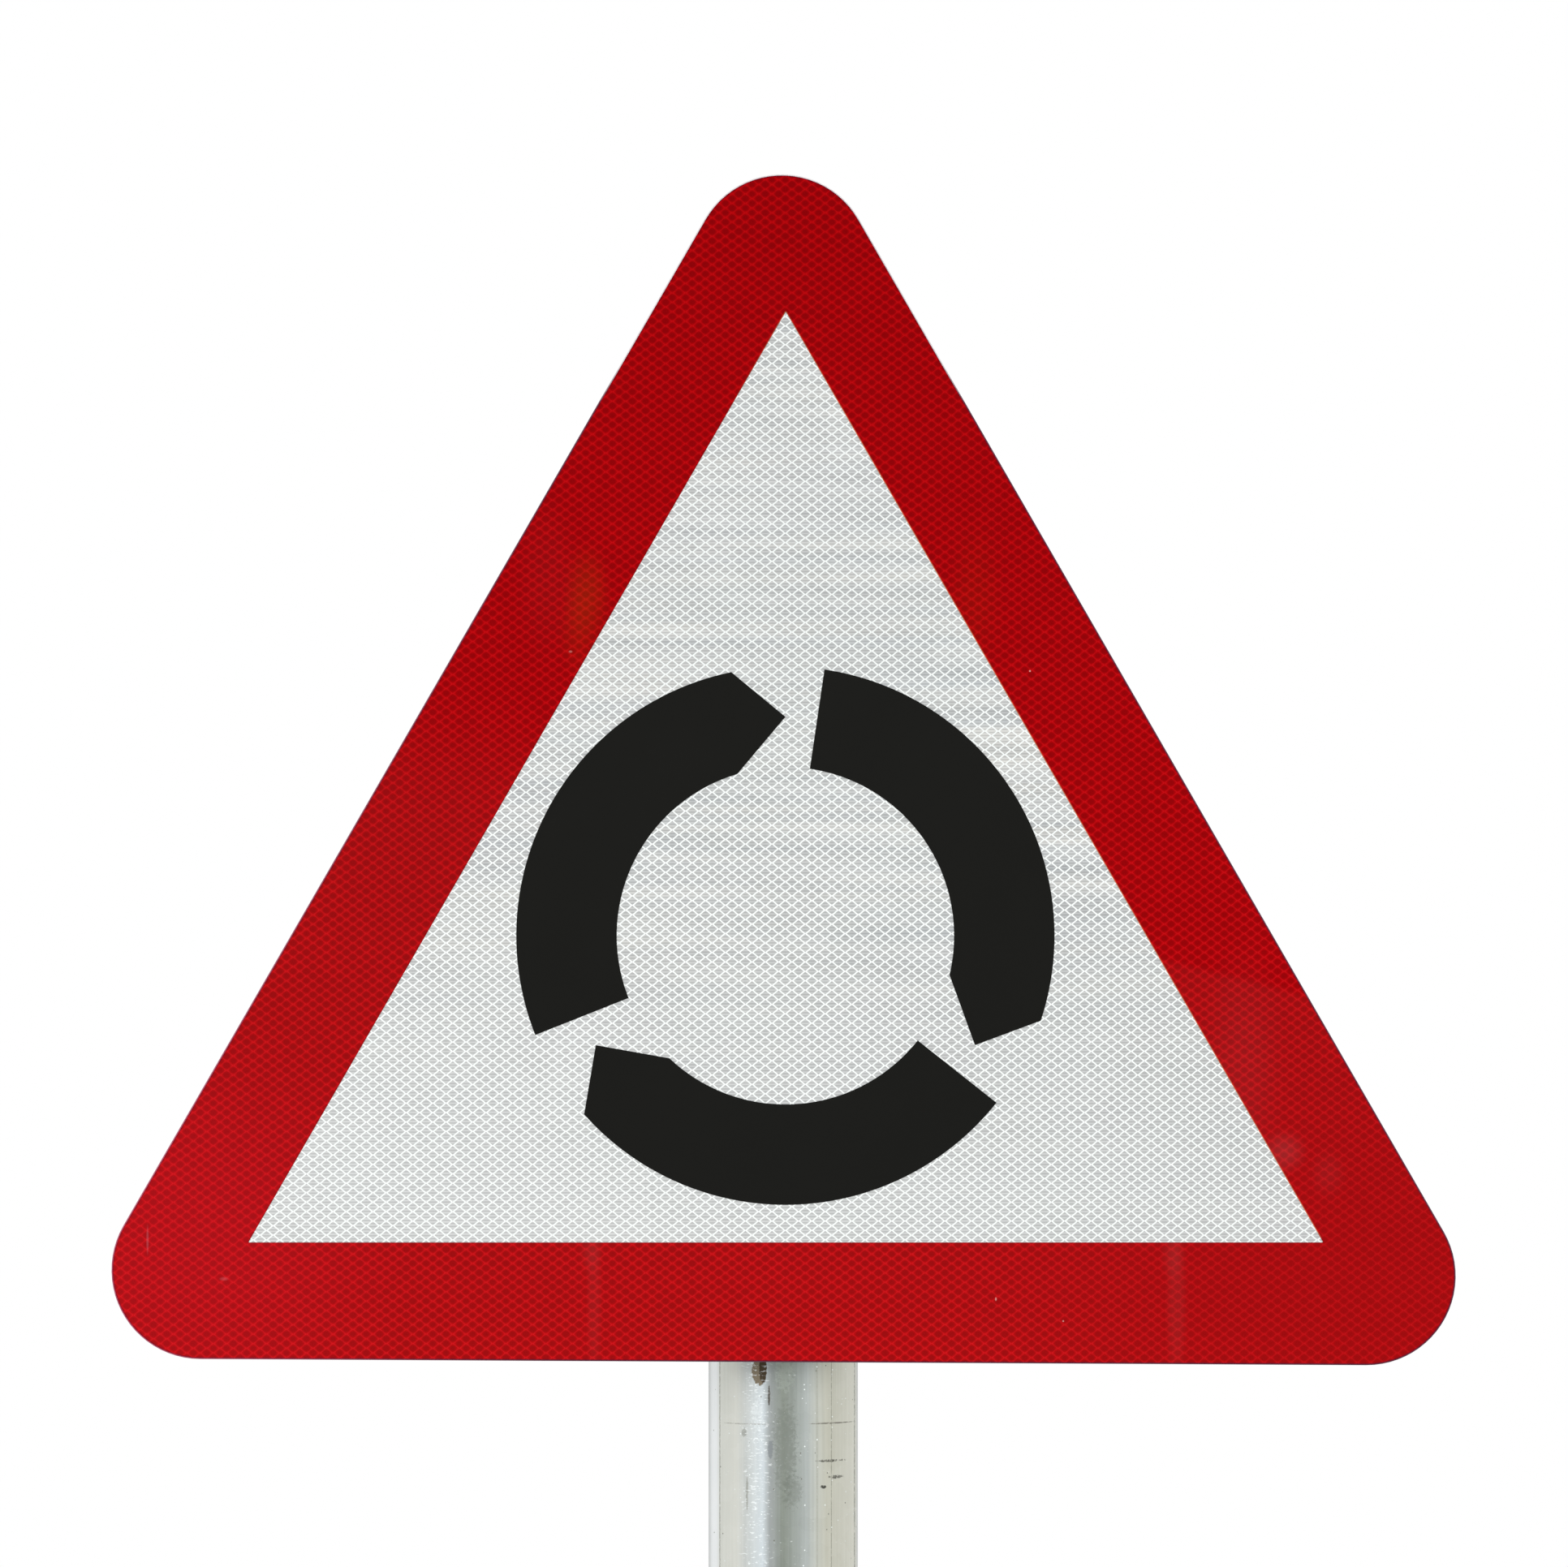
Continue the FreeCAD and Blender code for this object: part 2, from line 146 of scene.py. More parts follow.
# Marks on the red film, as x, z, half width, half height, softness, shade and strength: rust runs,
# chalk, the tone of the lower corners, the lower band's two worn streaks, a scratch and nicks
RED_MARKS = (
    (-99.0, 1288.0, 7.0, 15.0, 1.0, "#A04A0C", 0.10),
    (-104.0, 1270.0, 6.0, 14.0, 1.0, "#A04A0C", 0.05),
    (97.0, 1287.0, 9.0, 24.0, 0.9, "#A04A00", 0.025),
    (-119.0, 1295.0, 11.0, 26.0, 0.9, "#D8B4B4", 0.004),
    (-300.0, 960.0, 70.0, 70.0, 0.9, "#EC2438", 0.10),
    (295.0, 940.0, 120.0, 75.0, 0.9, "#9C0408", 0.40),
    (232.0, 1045.0, 13.0, 42.0, 0.9, "#C8D0D8", 0.006),
    (253.0, 1006.0, 7.0, 7.0, 0.9, "#C8D0D8", 0.020),
    (275.0, 995.0, 6.0, 8.0, 0.9, "#C8D0D8", 0.006),
    (-95.5, 930.0, 3.0, 33.0, 0.6, "#D8B4B4", 0.010),
    (-97.0, 956.0, 4.0, 8.0, 0.8, "#D8B4B4", 0.012),
    (198.5, 930.0, 4.0, 33.0, 0.6, "#D8B4B4", 0.012),
    (196.5, 954.0, 4.0, 9.0, 0.8, "#D8B4B4", 0.012),
    (-321.0, 961.7, 0.5, 6.0, 0.5, "#E8A0B0", 0.10),
    (-282.4, 942.0, 1.8, 0.8, 0.6, "#E8909C", 0.12),
    (-107.4, 1258.8, 0.8, 0.5, 0.5, "#FFB0A8", 0.25),
    (124.6, 1249.0, 0.4, 0.4, 0.4, "#FFE0D8", 0.45),
    (107.4, 931.8, 0.4, 0.8, 0.4, "#FFC8C0", 0.40),
    (141.4, 920.7, 0.4, 0.4, 0.4, "#FFC8C0", 0.40),
)

# Painted reflections on the post: upright bands across its front, as x and shade, from a painted
# highlight at the left rim to a painted dark reflection near the middle
POST_REFLECTION_BANDS = (
    (-34.0, "#F2F5F6"), (-31.5, "#D9DBD4"), (-24.0, "#D8D9D2"), (-19.0, "#C6CAC8"), (-10.5, "#C8D0D4"),
    (-7.0, "#9EA3A3"), (0.0, "#8D948B"), (12.0, "#AAB0AE"), (22.0, "#C6C6B9"), (35.0, "#DADACF"),
)

# Marks on the post's front, as x, z, half width, half height, softness, shade, strength and cover:
# dark and pale patches, the first a painted dark reflection and the third a painted highlight, rust
# run and its trickle, scored ring, rubbed scuffs, upright hairlines
POST_MARKS = (
    (1.0, 856.0, 8.5, 34.0, 0.9, "#7D837C", 0.55, 0.70),
    (1.0, 893.0, 7.0, 14.0, 0.9, "#B0B8B0", 0.40, 0.70),
    (-13.5, 872.0, 5.0, 16.0, 0.8, "#E2E8E9", 0.50, 0.60),
    (-19.8, 863.0, 1.5, 3.0, 0.6, "#8A8C84", 0.60, 0.74),
    (-18.3, 832.0, 0.8, 12.0, 0.6, "#8A8A80", 0.60, 0.72),
    (-6.5, 855.0, 1.6, 6.0, 0.7, "#6E747A", 0.50, 0.78),
    (5.0, 834.0, 6.0, 11.0, 1.0, "#70766E", 0.35, 0.76),
    (-12.2, 894.5, 3.8, 7.5, 0.4, "#75654A", 0.90, 1.00),
    (-10.3, 896.0, 2.0, 8.0, 0.4, "#403422", 0.95, 1.00),
    (-7.2, 882.0, 0.7, 7.0, 0.5, "#4A443A", 0.85, 0.74),
    (24.0, 867.6, 14.0, 0.5, 0.5, "#77756A", 0.80, 0.70),
    (-18.0, 867.4, 16.0, 0.4, 0.5, "#8D8B80", 0.60, 0.62),
    (24.0, 848.6, 9.5, 0.9, 0.5, "#4C4C44", 0.90, 0.62),
    (27.0, 840.3, 5.0, 1.3, 0.6, "#4C4C44", 0.85, 0.64),
    (20.3, 835.4, 1.8, 1.0, 0.5, "#3A3A34", 0.95, 0.75),
    (-32.2, 850.0, 0.3, 400.0, 0.6, "#97948A", 0.80, 0.70),
    (17.2, 850.0, 0.25, 400.0, 0.6, "#9A9A8C", 0.70, 0.66),
    (24.4, 850.0, 0.25, 400.0, 0.6, "#8E8E80", 0.75, 0.68),
    (36.3, 850.0, 0.3, 400.0, 0.6, "#7C7C72", 0.90, 0.72),
)

# Light and floor, in metres and watts
LAMPS = {"key": ((-2.6, -3.6, 2.7), 65.0), "fill": ((3.0, -3.2, 1.7), 29.0), "back": ((0.8, 3.4, 3.0), 70.0)}
LAMP_AIM = (0.0, 0.0, 1.1)
LAMP_SIZE = 2.4
WORLD_STRENGTH = 0.67
FLOOR_HALF_SIZE = 9.0

# Meshes: metres in a millimetre, the distance at which points are joined, the angle in degrees
# from which an edge is sharp, and a corner's largest cosine, just short of one folded right back
MILLIMETRE = 0.001
WELD = 2e-6
SHARP_EDGE = 35.0
FOLDED = 1.0 - 1e-12

# Setting of a range whose ends are eased
SMOOTH = {"interpolation_type": "SMOOTHSTEP"}


def box_mm(node):
    """Lowest corner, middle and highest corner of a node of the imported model, in millimetres."""
    low, high = (np.array(corner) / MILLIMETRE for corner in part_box(node))
    return low, (low + high) / 2.0, high


(_, PLATE_FRONT, _), _, (_, PLATE_BACK, PLATE_TOP) = box_mm("sign_plate")
SHEETING_FRONT = box_mm("white_sheeting")[0][1]
FILM_FRONT = box_mm("red_border")[0][1]
CENTRE_Z = PLATE_TOP - (2.0 * SIDE_DISTANCE - CORNER_RADIUS)
POST_RADIUS, _, POST_TOP = box_mm("post_tube")[2]


# ---- shapes ----


def rounded(corners, radii, bend, between=0):
    """Closed outline through the corners, each swung round its own radius.

    An arc's points, as many as the bend says, are the sine-weighted means of the two spokes from
    its centre to the tangent points. The straight run after it may be divided by further points.
    """
    corner = np.asarray(corners, float)
    radius = np.broadcast_to(np.asarray(radii, float), len(corner))[:, None]
    back = np.roll(corner, 1, axis=0) - corner
    ahead = np.roll(corner, -1, axis=0) - corner
    back /= np.linalg.norm(back, axis=1, keepdims=True)
    ahead /= np.linalg.norm(ahead, axis=1, keepdims=True)
    half = np.arccos(np.clip((back * ahead).sum(axis=1, keepdims=True), -1.0, FOLDED)) / 2.0
    inward = (back + ahead) / np.linalg.norm(back + ahead, axis=1, keepdims=True)
    centre = corner + inward * radius / np.sin(half)
    first = corner + back * radius / np.tan(half) - centre
    last = corner + ahead * radius / np.tan(half) - centre
    swing = (np.pi - 2.0 * half)[:, None]
    share = np.linspace(0.0, 1.0, bend)[None, :, None]
    spokes = np.sin((1.0 - share) * swing) * first[:, None] + np.sin(share * swing) * last[:, None]
    arcs = centre[:, None] + spokes / np.sin(swing)
    share = np.linspace(0.0, 1.0, between + 2)[None, 1:-1, None]
    ends, starts = arcs[:, -1:], np.roll(arcs[:, :1], -1, axis=0)
    runs = ends + share * (starts - ends)
    return np.concatenate([arcs, runs], axis=1).reshape(-1, 2)


def triangle(sides, distance):
    """Corners of a triangle: neighbouring side lines, at one distance from the centre, are crossed."""
    here = np.radians(sides)
    there = np.roll(here, -1)
    across = distance * (np.sin(there) - np.sin(here)) / np.sin(there - here)
    up = distance * (np.cos(here) - np.cos(there)) / np.sin(there - here)
    return np.stack([across, up], axis=1)


def upright(outline, y):
    """Stands an outline of (x, z) points in the upright plane at y."""
    outline = np.asarray(outline, float)
    return np.stack([outline[..., 0], np.broadcast_to(y, outline.shape[:-1]), outline[..., 1]], -1)


def closed(grid):
    """Repeats a grid's first column after its last, so that its rings close."""
    return np.concatenate([grid, grid[:, :1]], axis=1)


def edge_profile(front, back, radius, steps=4):
    """Rounded edge from the front plane to the back one, as (inset, y): two quarter circles."""
    turn = np.linspace(0.0, np.pi / 2.0, steps)
    inset = radius * (1.0 - np.sin(turn))
    depth = radius * (1.0 - np.cos(turn))
    return list(zip(np.r_[inset, inset[::-1]], np.r_[front + depth, back - depth[::-1]]))


def turned(radius, height, segments):
    """Surface of revolution about Z: each ring has its height and its radius, level or by angle."""
    angle = np.linspace(0.0, 2.0 * np.pi, segments + 1)
    height = np.asarray(height, float).reshape(-1, 1)
    radius = np.broadcast_to(np.asarray(radius, float).reshape(len(height), -1), (len(height), len(angle)))
    return np.stack([radius * np.cos(angle), radius * np.sin(angle), height + 0.0 * radius], -1)


def turned_section(corners, radii, bend, segments, between=0):
    """Surface of revolution about Z of a closed section of (radius, height) corners, each rounded."""
    ring = rounded(corners, radii, bend, between)
    ring = np.concatenate([ring, ring[:1]])
    return turned(ring[:, 0], ring[:, 1], segments)


def along_y(grid, x, z):
    """Lays a turned grid down, so that its axis runs along Y through (x, z)."""
    return np.stack([x + grid[..., 0], grid[..., 2], z + grid[..., 1]], -1)


def put(name, data):
    """A new object in the scene."""
    made = bpy.data.objects.new(name, data)
    bpy.context.scene.collection.objects.link(made)
    return made


def surface(name, grids, node, slot, finish, caps=(), marks=None):
    """Makes one piece of grids of points, welded where they meet, in place of a node of the model.

    Each grid is a (rows, columns, 3) surface and each cap a flat (points, 3) outline. Marks hold,
    by name, a value for every point of every grid.
    """
    points, faces = [], []
    for grid in grids:
        rows, columns = grid.shape[:2]
        index = np.arange(rows * columns).reshape(rows, columns) + sum(len(p) for p in points)
        quads = [index[:-1, :-1], index[1:, :-1], index[1:, 1:], index[:-1, 1:]]
        faces += np.stack(quads, axis=-1).reshape(-1, 4).tolist()
        points.append(grid.reshape(-1, 3))
    for cap in caps:
        start = sum(len(p) for p in points)
        faces.append(list(range(start, start + len(cap))))
        points.append(cap)
    mesh = bpy.data.meshes.new(name)
    mesh.from_pydata(np.concatenate(points) * MILLIMETRE, [], faces)
    for mark, values in (marks or {}).items():
        layer = mesh.attributes.new(mark, "FLOAT", "POINT")
        layer.data.foreach_set("value", np.concatenate([v.ravel() for v in values]).astype(np.float32))
    shell = bmesh.new()
    shell.from_mesh(mesh)
    bmesh.ops.remove_doubles(shell, verts=shell.verts, dist=WELD)
    bmesh.ops.recalc_face_normals(shell, faces=shell.faces)
    shell.to_mesh(mesh)
    shell.free()
    mesh.shade_smooth()
    mesh.set_sharp_from_angle(angle=math.radians(SHARP_EDGE))
    mesh.materials.append(finish)
    piece = put(name, mesh)
    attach(piece, "root")
    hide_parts(node)


def plate_outline(inset):
    """The plate's outline, drawn in by the inset."""
    corners = triangle(PLATE_SIDES, SIDE_DISTANCE - inset) + (PLATE_SHIFT_X, CENTRE_Z)
    return rounded(corners, CORNER_RADIUS - inset, OUTLINE_BEND)


def opening_outline(growth):
    """The triangle left open in the border film, drawn out by the growth."""
    centre = np.array([PLATE_SHIFT_X, CENTRE_Z]) + BORDER_SHIFT
    corners = triangle(BORDER_SIDES, SIDE_DISTANCE - BORDER_WIDTH + growth) + centre
    return rounded(corners, BORDER_CUT_CORNER + growth, OUTLINE_BEND)


def slab(outline_at, front, back, edge):
    """Flat sheet: its outline carried round a rounded edge, and closed by a front and a back face."""
    rings = np.array([upright(outline_at(inset), y) for inset, y in edge_profile(front, back, edge)])
    return {"grids": [closed(rings)], "caps": [rings[0], rings[-1]]}


def border_film(front, back):
    """Film between the plate's outline and the opening, as rings blended from one to the other.

    The marks give each point's distance from the outer and from the inner cut edge.
    """
    outer = [(upright(plate_outline(SHEETING_INSET + i), y), i, BORDER_WIDTH)
             for i, y in edge_profile(front, back, FILM_EDGE, 2)]
    inner = [(upright(opening_outline(i), y), BORDER_WIDTH, i)
             for i, y in edge_profile(front, back, FILM_EDGE, 2)[::-1]]
    middle = [((1.0 - s) * inner[-1][0] + s * outer[0][0], BORDER_WIDTH * (1.0 - s), BORDER_WIDTH * s)
              for s in FILM_RINGS]
    rings = outer + inner + middle + outer[:1]
    grid = closed(np.array([ring for ring, _, _ in rings]))
    marks = {
        name: [np.array([[ring[part]] for ring in rings]) * np.ones(grid.shape[:2])]
        for part, name in enumerate(("from_outer_edge", "from_inner_edge"), 1)
    }
    return {"grids": [grid], "marks": marks}


def arrow_film(tip, front, back, across=7, along=73):
    """Part of the ring: radius and angle run evenly from the square tail line to the head's two cuts."""
    share = np.linspace(0.0, 1.0, across)
    middle = (ARROW_INNER + ARROW_OUTER) / 2.0
    tail_radius = ARROW_INNER + (ARROW_OUTER - ARROW_INNER) * share
    shoulders = np.radians([ARROW_INNER_SHOULDER, 0.0, ARROW_OUTER_SHOULDER])
    corner = np.array([ARROW_INNER, middle, ARROW_OUTER]) * np.array([np.cos(shoulders), np.sin(shoulders)])
    head = [np.interp(share, (0.0, 0.5, 1.0), part) for part in corner]
    head_radius, head_angle = np.hypot(*head), np.arctan2(head[1], head[0])
    run = np.linspace(0.0, 1.0, along)[:, None]
    radius = (1.0 - run) * tail_radius + run * head_radius
    angle = (1.0 - run) * math.radians(ARROW_TAIL) + run * head_angle + math.radians(tip)
    centre = np.array([PLATE_SHIFT_X, CENTRE_Z]) + ARROW_SHIFT
    band = centre + radius[..., None] * np.stack([np.cos(angle), np.sin(angle)], -1)
    skin = np.concatenate([upright(band, front), upright(band[:, ::-1], back)], axis=1)
    ends = [np.stack([upright(band[i], front), upright(band[i], back)]) for i in (0, -1)]
    return {"grids": [closed(skin)] + ends}


def tube():
    """The post: its wall's section, rounded at both lips, turned about the axis."""
    inner = POST_RADIUS - POST_WALL
    section = [(inner, 0.0), (POST_RADIUS, 0.0), (POST_RADIUS, POST_TOP), (inner, POST_TOP)]
    return {"grids": [turned_section(section, POST_LIP, 5, 128, between=3)]}


def moulded_cap():
    """The cap, turned: half its section as (radius, height, rounding), with a crown and a gate dimple."""
    inner = POST_RADIUS + CAP_CLEARANCE
    outer = inner + CAP_WALL
    (_, _, bottom), _, (_, _, top) = box_mm("post_cap")
    crown = top + CAP_CROWN
    bead_top = bottom + CAP_BEAD_HEIGHT
    section = [
        (0.0, POST_TOP, 0.0), (inner, POST_TOP, 0.4), (inner, bottom, 0.4),
        (outer + CAP_BEAD, bottom, 0.4), (outer + CAP_BEAD, bead_top - CAP_BEAD, 0.5),
        (outer, bead_top, 0.4), (outer, top - CAP_SHOULDER, 2.0),
        (outer - CAP_SHOULDER, top, 2.5), (CAP_GATE_RADIUS + 1.0, crown, 0.3),
        (CAP_GATE_RADIUS, crown - CAP_GATE_DEPTH, 0.2), (0.0, crown - CAP_GATE_DEPTH, 0.0),
    ]
    radii = [radius for _, _, radius in section]
    return {"grids": [turned_section([point[:2] for point in section], radii, 7, 96)]}


def channel(node):
    """Extrusion: its section, with a slot between two lips and two grooved flanges, drawn along X."""
    low, middle, high = box_mm(node)
    flange, lip_face, front = high[2] - middle[2], high[1], low[1]
    floor, lip_under = front + CHANNEL_BASE, lip_face - CHANNEL_LIP
    cavity, slot = CHANNEL_CAVITY / 2.0, CHANNEL_SLOT / 2.0
    wall = cavity + CHANNEL_WALL
    groove = (wall + flange) / 2.0
    half = [
        (floor, cavity, 0.4), (lip_under, cavity, 0.4), (lip_under, slot, CHANNEL_CORNER),
        (lip_face, slot, CHANNEL_CORNER), (lip_face, wall, CHANNEL_ROOT), (floor, wall, CHANNEL_ROOT),
        (floor, groove - CHANNEL_GROOVE, 0.0), (floor - CHANNEL_GROOVE, groove, 0.0),
        (floor, groove + CHANNEL_GROOVE, 0.0), (floor, flange, CHANNEL_CORNER),
        (front, flange, CHANNEL_CORNER),
    ]
    whole = half + [(back, -up, radius) for back, up, radius in half[::-1]]
    section = rounded([(back, up) for back, up, _ in whole], [radius for _, _, radius in whole], 5)
    ends = np.array([np.insert(section + (0.0, middle[2]), 0, x, axis=1) for x in (low[0], high[0])])
    return {"grids": [closed(ends)], "caps": [ends[0], ends[1]]}


def foam_strip(node):
    """Tape: a rectangle whose edges are pressed round by the channel."""
    low, _, high = box_mm(node)

    def outline(inset):
        left, right, lower, upper = low[0] + inset, high[0] - inset, low[2] + inset, high[2] - inset
        corners = [(left, lower), (right, lower), (right, upper), (left, upper)]
        return rounded(corners, 1.0, 4)

    return slab(outline, low[1], high[1], TAPE_SOFT_EDGE)


def bent_clip(node, bolt_places):
    """Clip: a strip drawn round the post between two matched paths, with a drilled ear each side.

    The paths are the strip's two faces in plan. Each ear is blended from its hole to its outline.
    """
    low, middle, high = box_mm(node)
    height, half_width = middle[2], high[2] - middle[2]
    near = POST_RADIUS + CLIP_POST_GAP
    far = near + CLIP_THICKNESS
    ear_front = low[1]
    ear_back = ear_front + CLIP_THICKNESS
    bend_end = far + CLIP_BEND
    steps = 9
    edge = edge_profile(0.0, CLIP_THICKNESS, CLIP_ROLLED_EDGE, 4)
    flat = half_width - CLIP_ROLLED_EDGE
    across = np.linspace(-flat, flat, steps)
    upper = [(half_width - inset, depth) for inset, depth in edge[1:-1]]
    lower = [(-z, depth) for z, depth in upper[::-1]]
    section = [(z, 0.0) for z in across] + upper
    section += [(z, CLIP_THICKNESS) for z in across[::-1]] + lower
    rise, depth = np.array(section + section[:1]).T

    def face(reach, ear, bend):
        corners = [(bend_end, ear), (reach, ear), (reach, reach)]
        corners += [(-x, y) for x, y in corners[::-1]]
        radii = [0.0, bend, reach]
        return rounded(corners, radii + radii[::-1], 17)

    inside = face(near, ear_front, CLIP_BEND + CLIP_THICKNESS)[:, None]
    outside = face(far, ear_back, CLIP_BEND)[:, None]
    plan = inside + (outside - inside) * (depth / CLIP_THICKNESS)[None, :, None]
    strip = np.concatenate([plan, np.broadcast_to(height + rise[None, :, None], plan.shape[:2] + (1,))], -1)
    grids = [strip]
    for bolt_x in bolt_places:
        def ear_outline(inset, mirror=math.copysign(1.0, bolt_x)):
            top, end = half_width - inset, high[0] - inset
            corners = [(bend_end, -top), (end, -top), (end, top), (bend_end, top)]
            corner = CLIP_EAR_CORNER - inset
            ring = rounded(corners, [0.0, corner, corner, 0.0], steps, steps - 2)
            return ring * (mirror, 1.0)

        rim = [upright(ear_outline(inset) + (0.0, height), ear_front + y) for inset, y in edge]
        hole = []
        for inset, y in edge_profile(0.0, CLIP_THICKNESS, CLIP_HOLE_EDGE, 3):
            spoke = ear_outline(CLIP_ROLLED_EDGE) - (bolt_x, 0.0)
            spoke *= (CLIP_HOLE_RADIUS + inset) / np.linalg.norm(spoke, axis=1, keepdims=True)
            hole.append(upright(spoke + (bolt_x, height), ear_front + y))
        free = slice(steps - 1, len(rim[0]) - (steps - 2))
        for end in (0, -1):
            grids.append(closed(np.array([hole[end], (hole[end] + rim[end]) / 2.0, rim[end]])))
        grids.append(closed(np.array(hole)))
        grids.append(np.array(rim)[:, free])
    return {"grids": grids}


def hex_radius(depth):
    """Radius by angle of a hexagon whose corners are cut off by a cone, at a depth under its end."""
    flat = HEX_ACROSS_FLATS / 2.0
    angle = np.linspace(0.0, 2.0 * np.pi, HEX_SEGMENTS + 1)
    prism = flat / np.cos(angle % (np.pi / 3.0) - np.pi / 6.0)
    cone = HEX_FACE * flat + np.asarray(depth)[:, None] / math.tan(math.radians(HEX_CHAMFER_ANGLE))
    return np.minimum(prism, cone)


def threaded_bolt(node):
    """Bolt: chamfered hexagon head, then a shank whose radius falls along a helix, then its end."""
    low, (x, _, z), high = box_mm(node)
    seat = box_mm(node.replace("bolt", "washer"))[0][1] - CLIP_THICKNESS - CHANNEL_LIP
    head = hex_radius(np.r_[HEX_CHAMFER_DEPTHS, seat - low[1]])
    shank_y = np.arange(seat, high[1], THREAD_PITCH / 10.0)
    angle = np.linspace(0.0, 1.0, HEX_SEGMENTS + 1)
    phase = (shank_y[:, None] / THREAD_PITCH - angle) % 1.0
    groove = np.clip((np.abs(2.0 * phase - 1.0) - THREAD_CREST) / THREAD_FLANK, 0.0, 1.0)
    run_out = np.clip((shank_y - seat - THREAD_START) / THREAD_PITCH, 0.0, 1.0)[:, None]
    point = (BOLT_RADIUS - BOLT_END_CHAMFER + high[1] - shank_y)[:, None]
    shank = np.minimum(BOLT_RADIUS - THREAD_DEPTH * groove * run_out, point)
    end = np.full((1, HEX_SEGMENTS + 1), BOLT_RADIUS - BOLT_END_CHAMFER)
    pole = np.zeros((1, HEX_SEGMENTS + 1))
    radius = np.concatenate([pole, head, shank, end, pole])
    height = np.r_[low[1], low[1] + HEX_CHAMFER_DEPTHS, seat, shank_y, high[1], high[1]]
    return {"grids": [along_y(turned(radius, height, HEX_SEGMENTS), x, z)]}


def hex_nut(node):
    """Nut: a hexagon chamfered at both ends, with a countersunk bore."""
    (_, front, _), (x, _, z), (_, back, _) = box_mm(node)
    chamfer, sink = HEX_CHAMFER_DEPTHS, NUT_COUNTERSINK
    outside = hex_radius(np.r_[chamfer, chamfer[::-1]])
    bore = np.full((1, HEX_SEGMENTS + 1), NUT_BORE_RADIUS)
    radius = np.concatenate([outside, bore + sink, bore, bore, bore + sink, outside[:1]])
    height = np.r_[front + chamfer, back - chamfer[::-1], back, back - sink, front + sink, front, front]
    return {"grids": [along_y(turned(radius, height, HEX_SEGMENTS), x, z)]}


def flat_washer(node):
    """Washer: a rectangle with rounded corners, turned about the bolt."""
    (_, front, _), (x, _, z), (rim, back, _) = box_mm(node)
    inner, outer = WASHER_BORE_RADIUS, rim - x
    section = [(inner, front), (outer, front), (outer, back), (inner, back)]
    return {"grids": [along_y(turned_section(section, WASHER_ROLLED_EDGE, 4, 64), x, z)]}


# ---- materials ----


def colour(code):
    """Linear colour from an sRGB hex value."""
    parts = [int(code[i:i + 2], 16) / 255.0 for i in (1, 3, 5)]
    return tuple(p / 12.92 if p <= 0.04045 else ((p + 0.055) / 1.055) ** 2.4 for p in parts) + (1.0,)


def add(tree, kind, inputs=None, stops=(), **settings):
    """Adds a node with its settings, its sockets' values or links, and a ramp's stops.

    A socket is named, or numbered where names repeat. A node given as a value stands for its
    first live output, and a colour is given as its sRGB hex value. A Mix node mixes colours
    unless its settings say otherwise.
    """
    made = tree.nodes.new("ShaderNode" + kind)
    if kind == "Mix":
        made.data_type = "RGBA"
    for name, value in settings.items():
        setattr(made, name, value)
    for key, value in (inputs or {}).items():
        if isinstance(key, str):
            socket = next(s for s in made.inputs if s.enabled and s.name == key)
        else:
            socket = made.inputs[key]
        if isinstance(value, bpy.types.Node):
            value = next(s for s in value.outputs if s.enabled)
        if isinstance(value, bpy.types.NodeSocket):
            tree.links.new(value, socket)
        else:
            socket.default_value = colour(value) if isinstance(value, str) else value
    for number, (position, shade) in enumerate(stops):
        if number > 1:
            made.color_ramp.elements.new(position)
        made.color_ramp.elements[number].position = position
        made.color_ramp.elements[number].color = colour(shade)
    return made


def place_mm(node):
    """Object coordinates in millimetres."""
    place = node("TexCoord").outputs["Object"]
    return node("VectorMath", {0: place, "Scale": 1.0 / MILLIMETRE}, operation="SCALE")


def material(describe, shader="BsdfPrincipled"):
    """The material of a function that adds its nodes and gives the sockets of its shader."""
    finish = bpy.data.materials.new(describe.__name__)
    finish.use_nodes = True
    finish.node_tree.nodes.clear()
    node = functools.partial(add, finish.node_tree)
    node("OutputMaterial", {"Surface": node(shader, describe(node, place_mm(node)))})
    return finish


def spread(node, noise, low, high):
    """A noise's usual range, 0.3 to 0.7, spread between two values."""
    return node("MapRange", {"Value": noise, "From Min": 0.3, "From Max": 0.7, "To Min": low, "To Max": high})


def drawn_noise(node, place, sizes, detail, roughness=0.5):
    """Noise drawn out along the axes: its size in mm along each, infinite where it doesn't change."""
    scaled = node("VectorMath", {0: place, 1: [1.0 / size for size in sizes]}, operation="MULTIPLY")
    return node("TexNoise", {"Vector": scaled, "Scale": 1.0, "Detail": detail, "Roughness": roughness})


def patch(node, place, x, z, half_width, half_height, soft):
    """Soft-edged oval on the front: 1 inside, 0 outside, by the distance in units of its half sizes."""
    offset = node("VectorMath", {0: place, 1: (x, 0.0, z)}, operation="SUBTRACT")
    shares = (1.0 / half_width, 0.0, 1.0 / half_height)
    scaled = node("VectorMath", {0: offset, 1: shares}, operation="MULTIPLY")
    reach = node("VectorMath", {0: scaled}, operation="LENGTH")
    return node(
        "MapRange",
        {"Value": reach, "From Min": 1.0 - soft, "From Max": 1.0 + soft, "To Min": 1.0, "To Max": 0.0},
        **SMOOTH,
    )


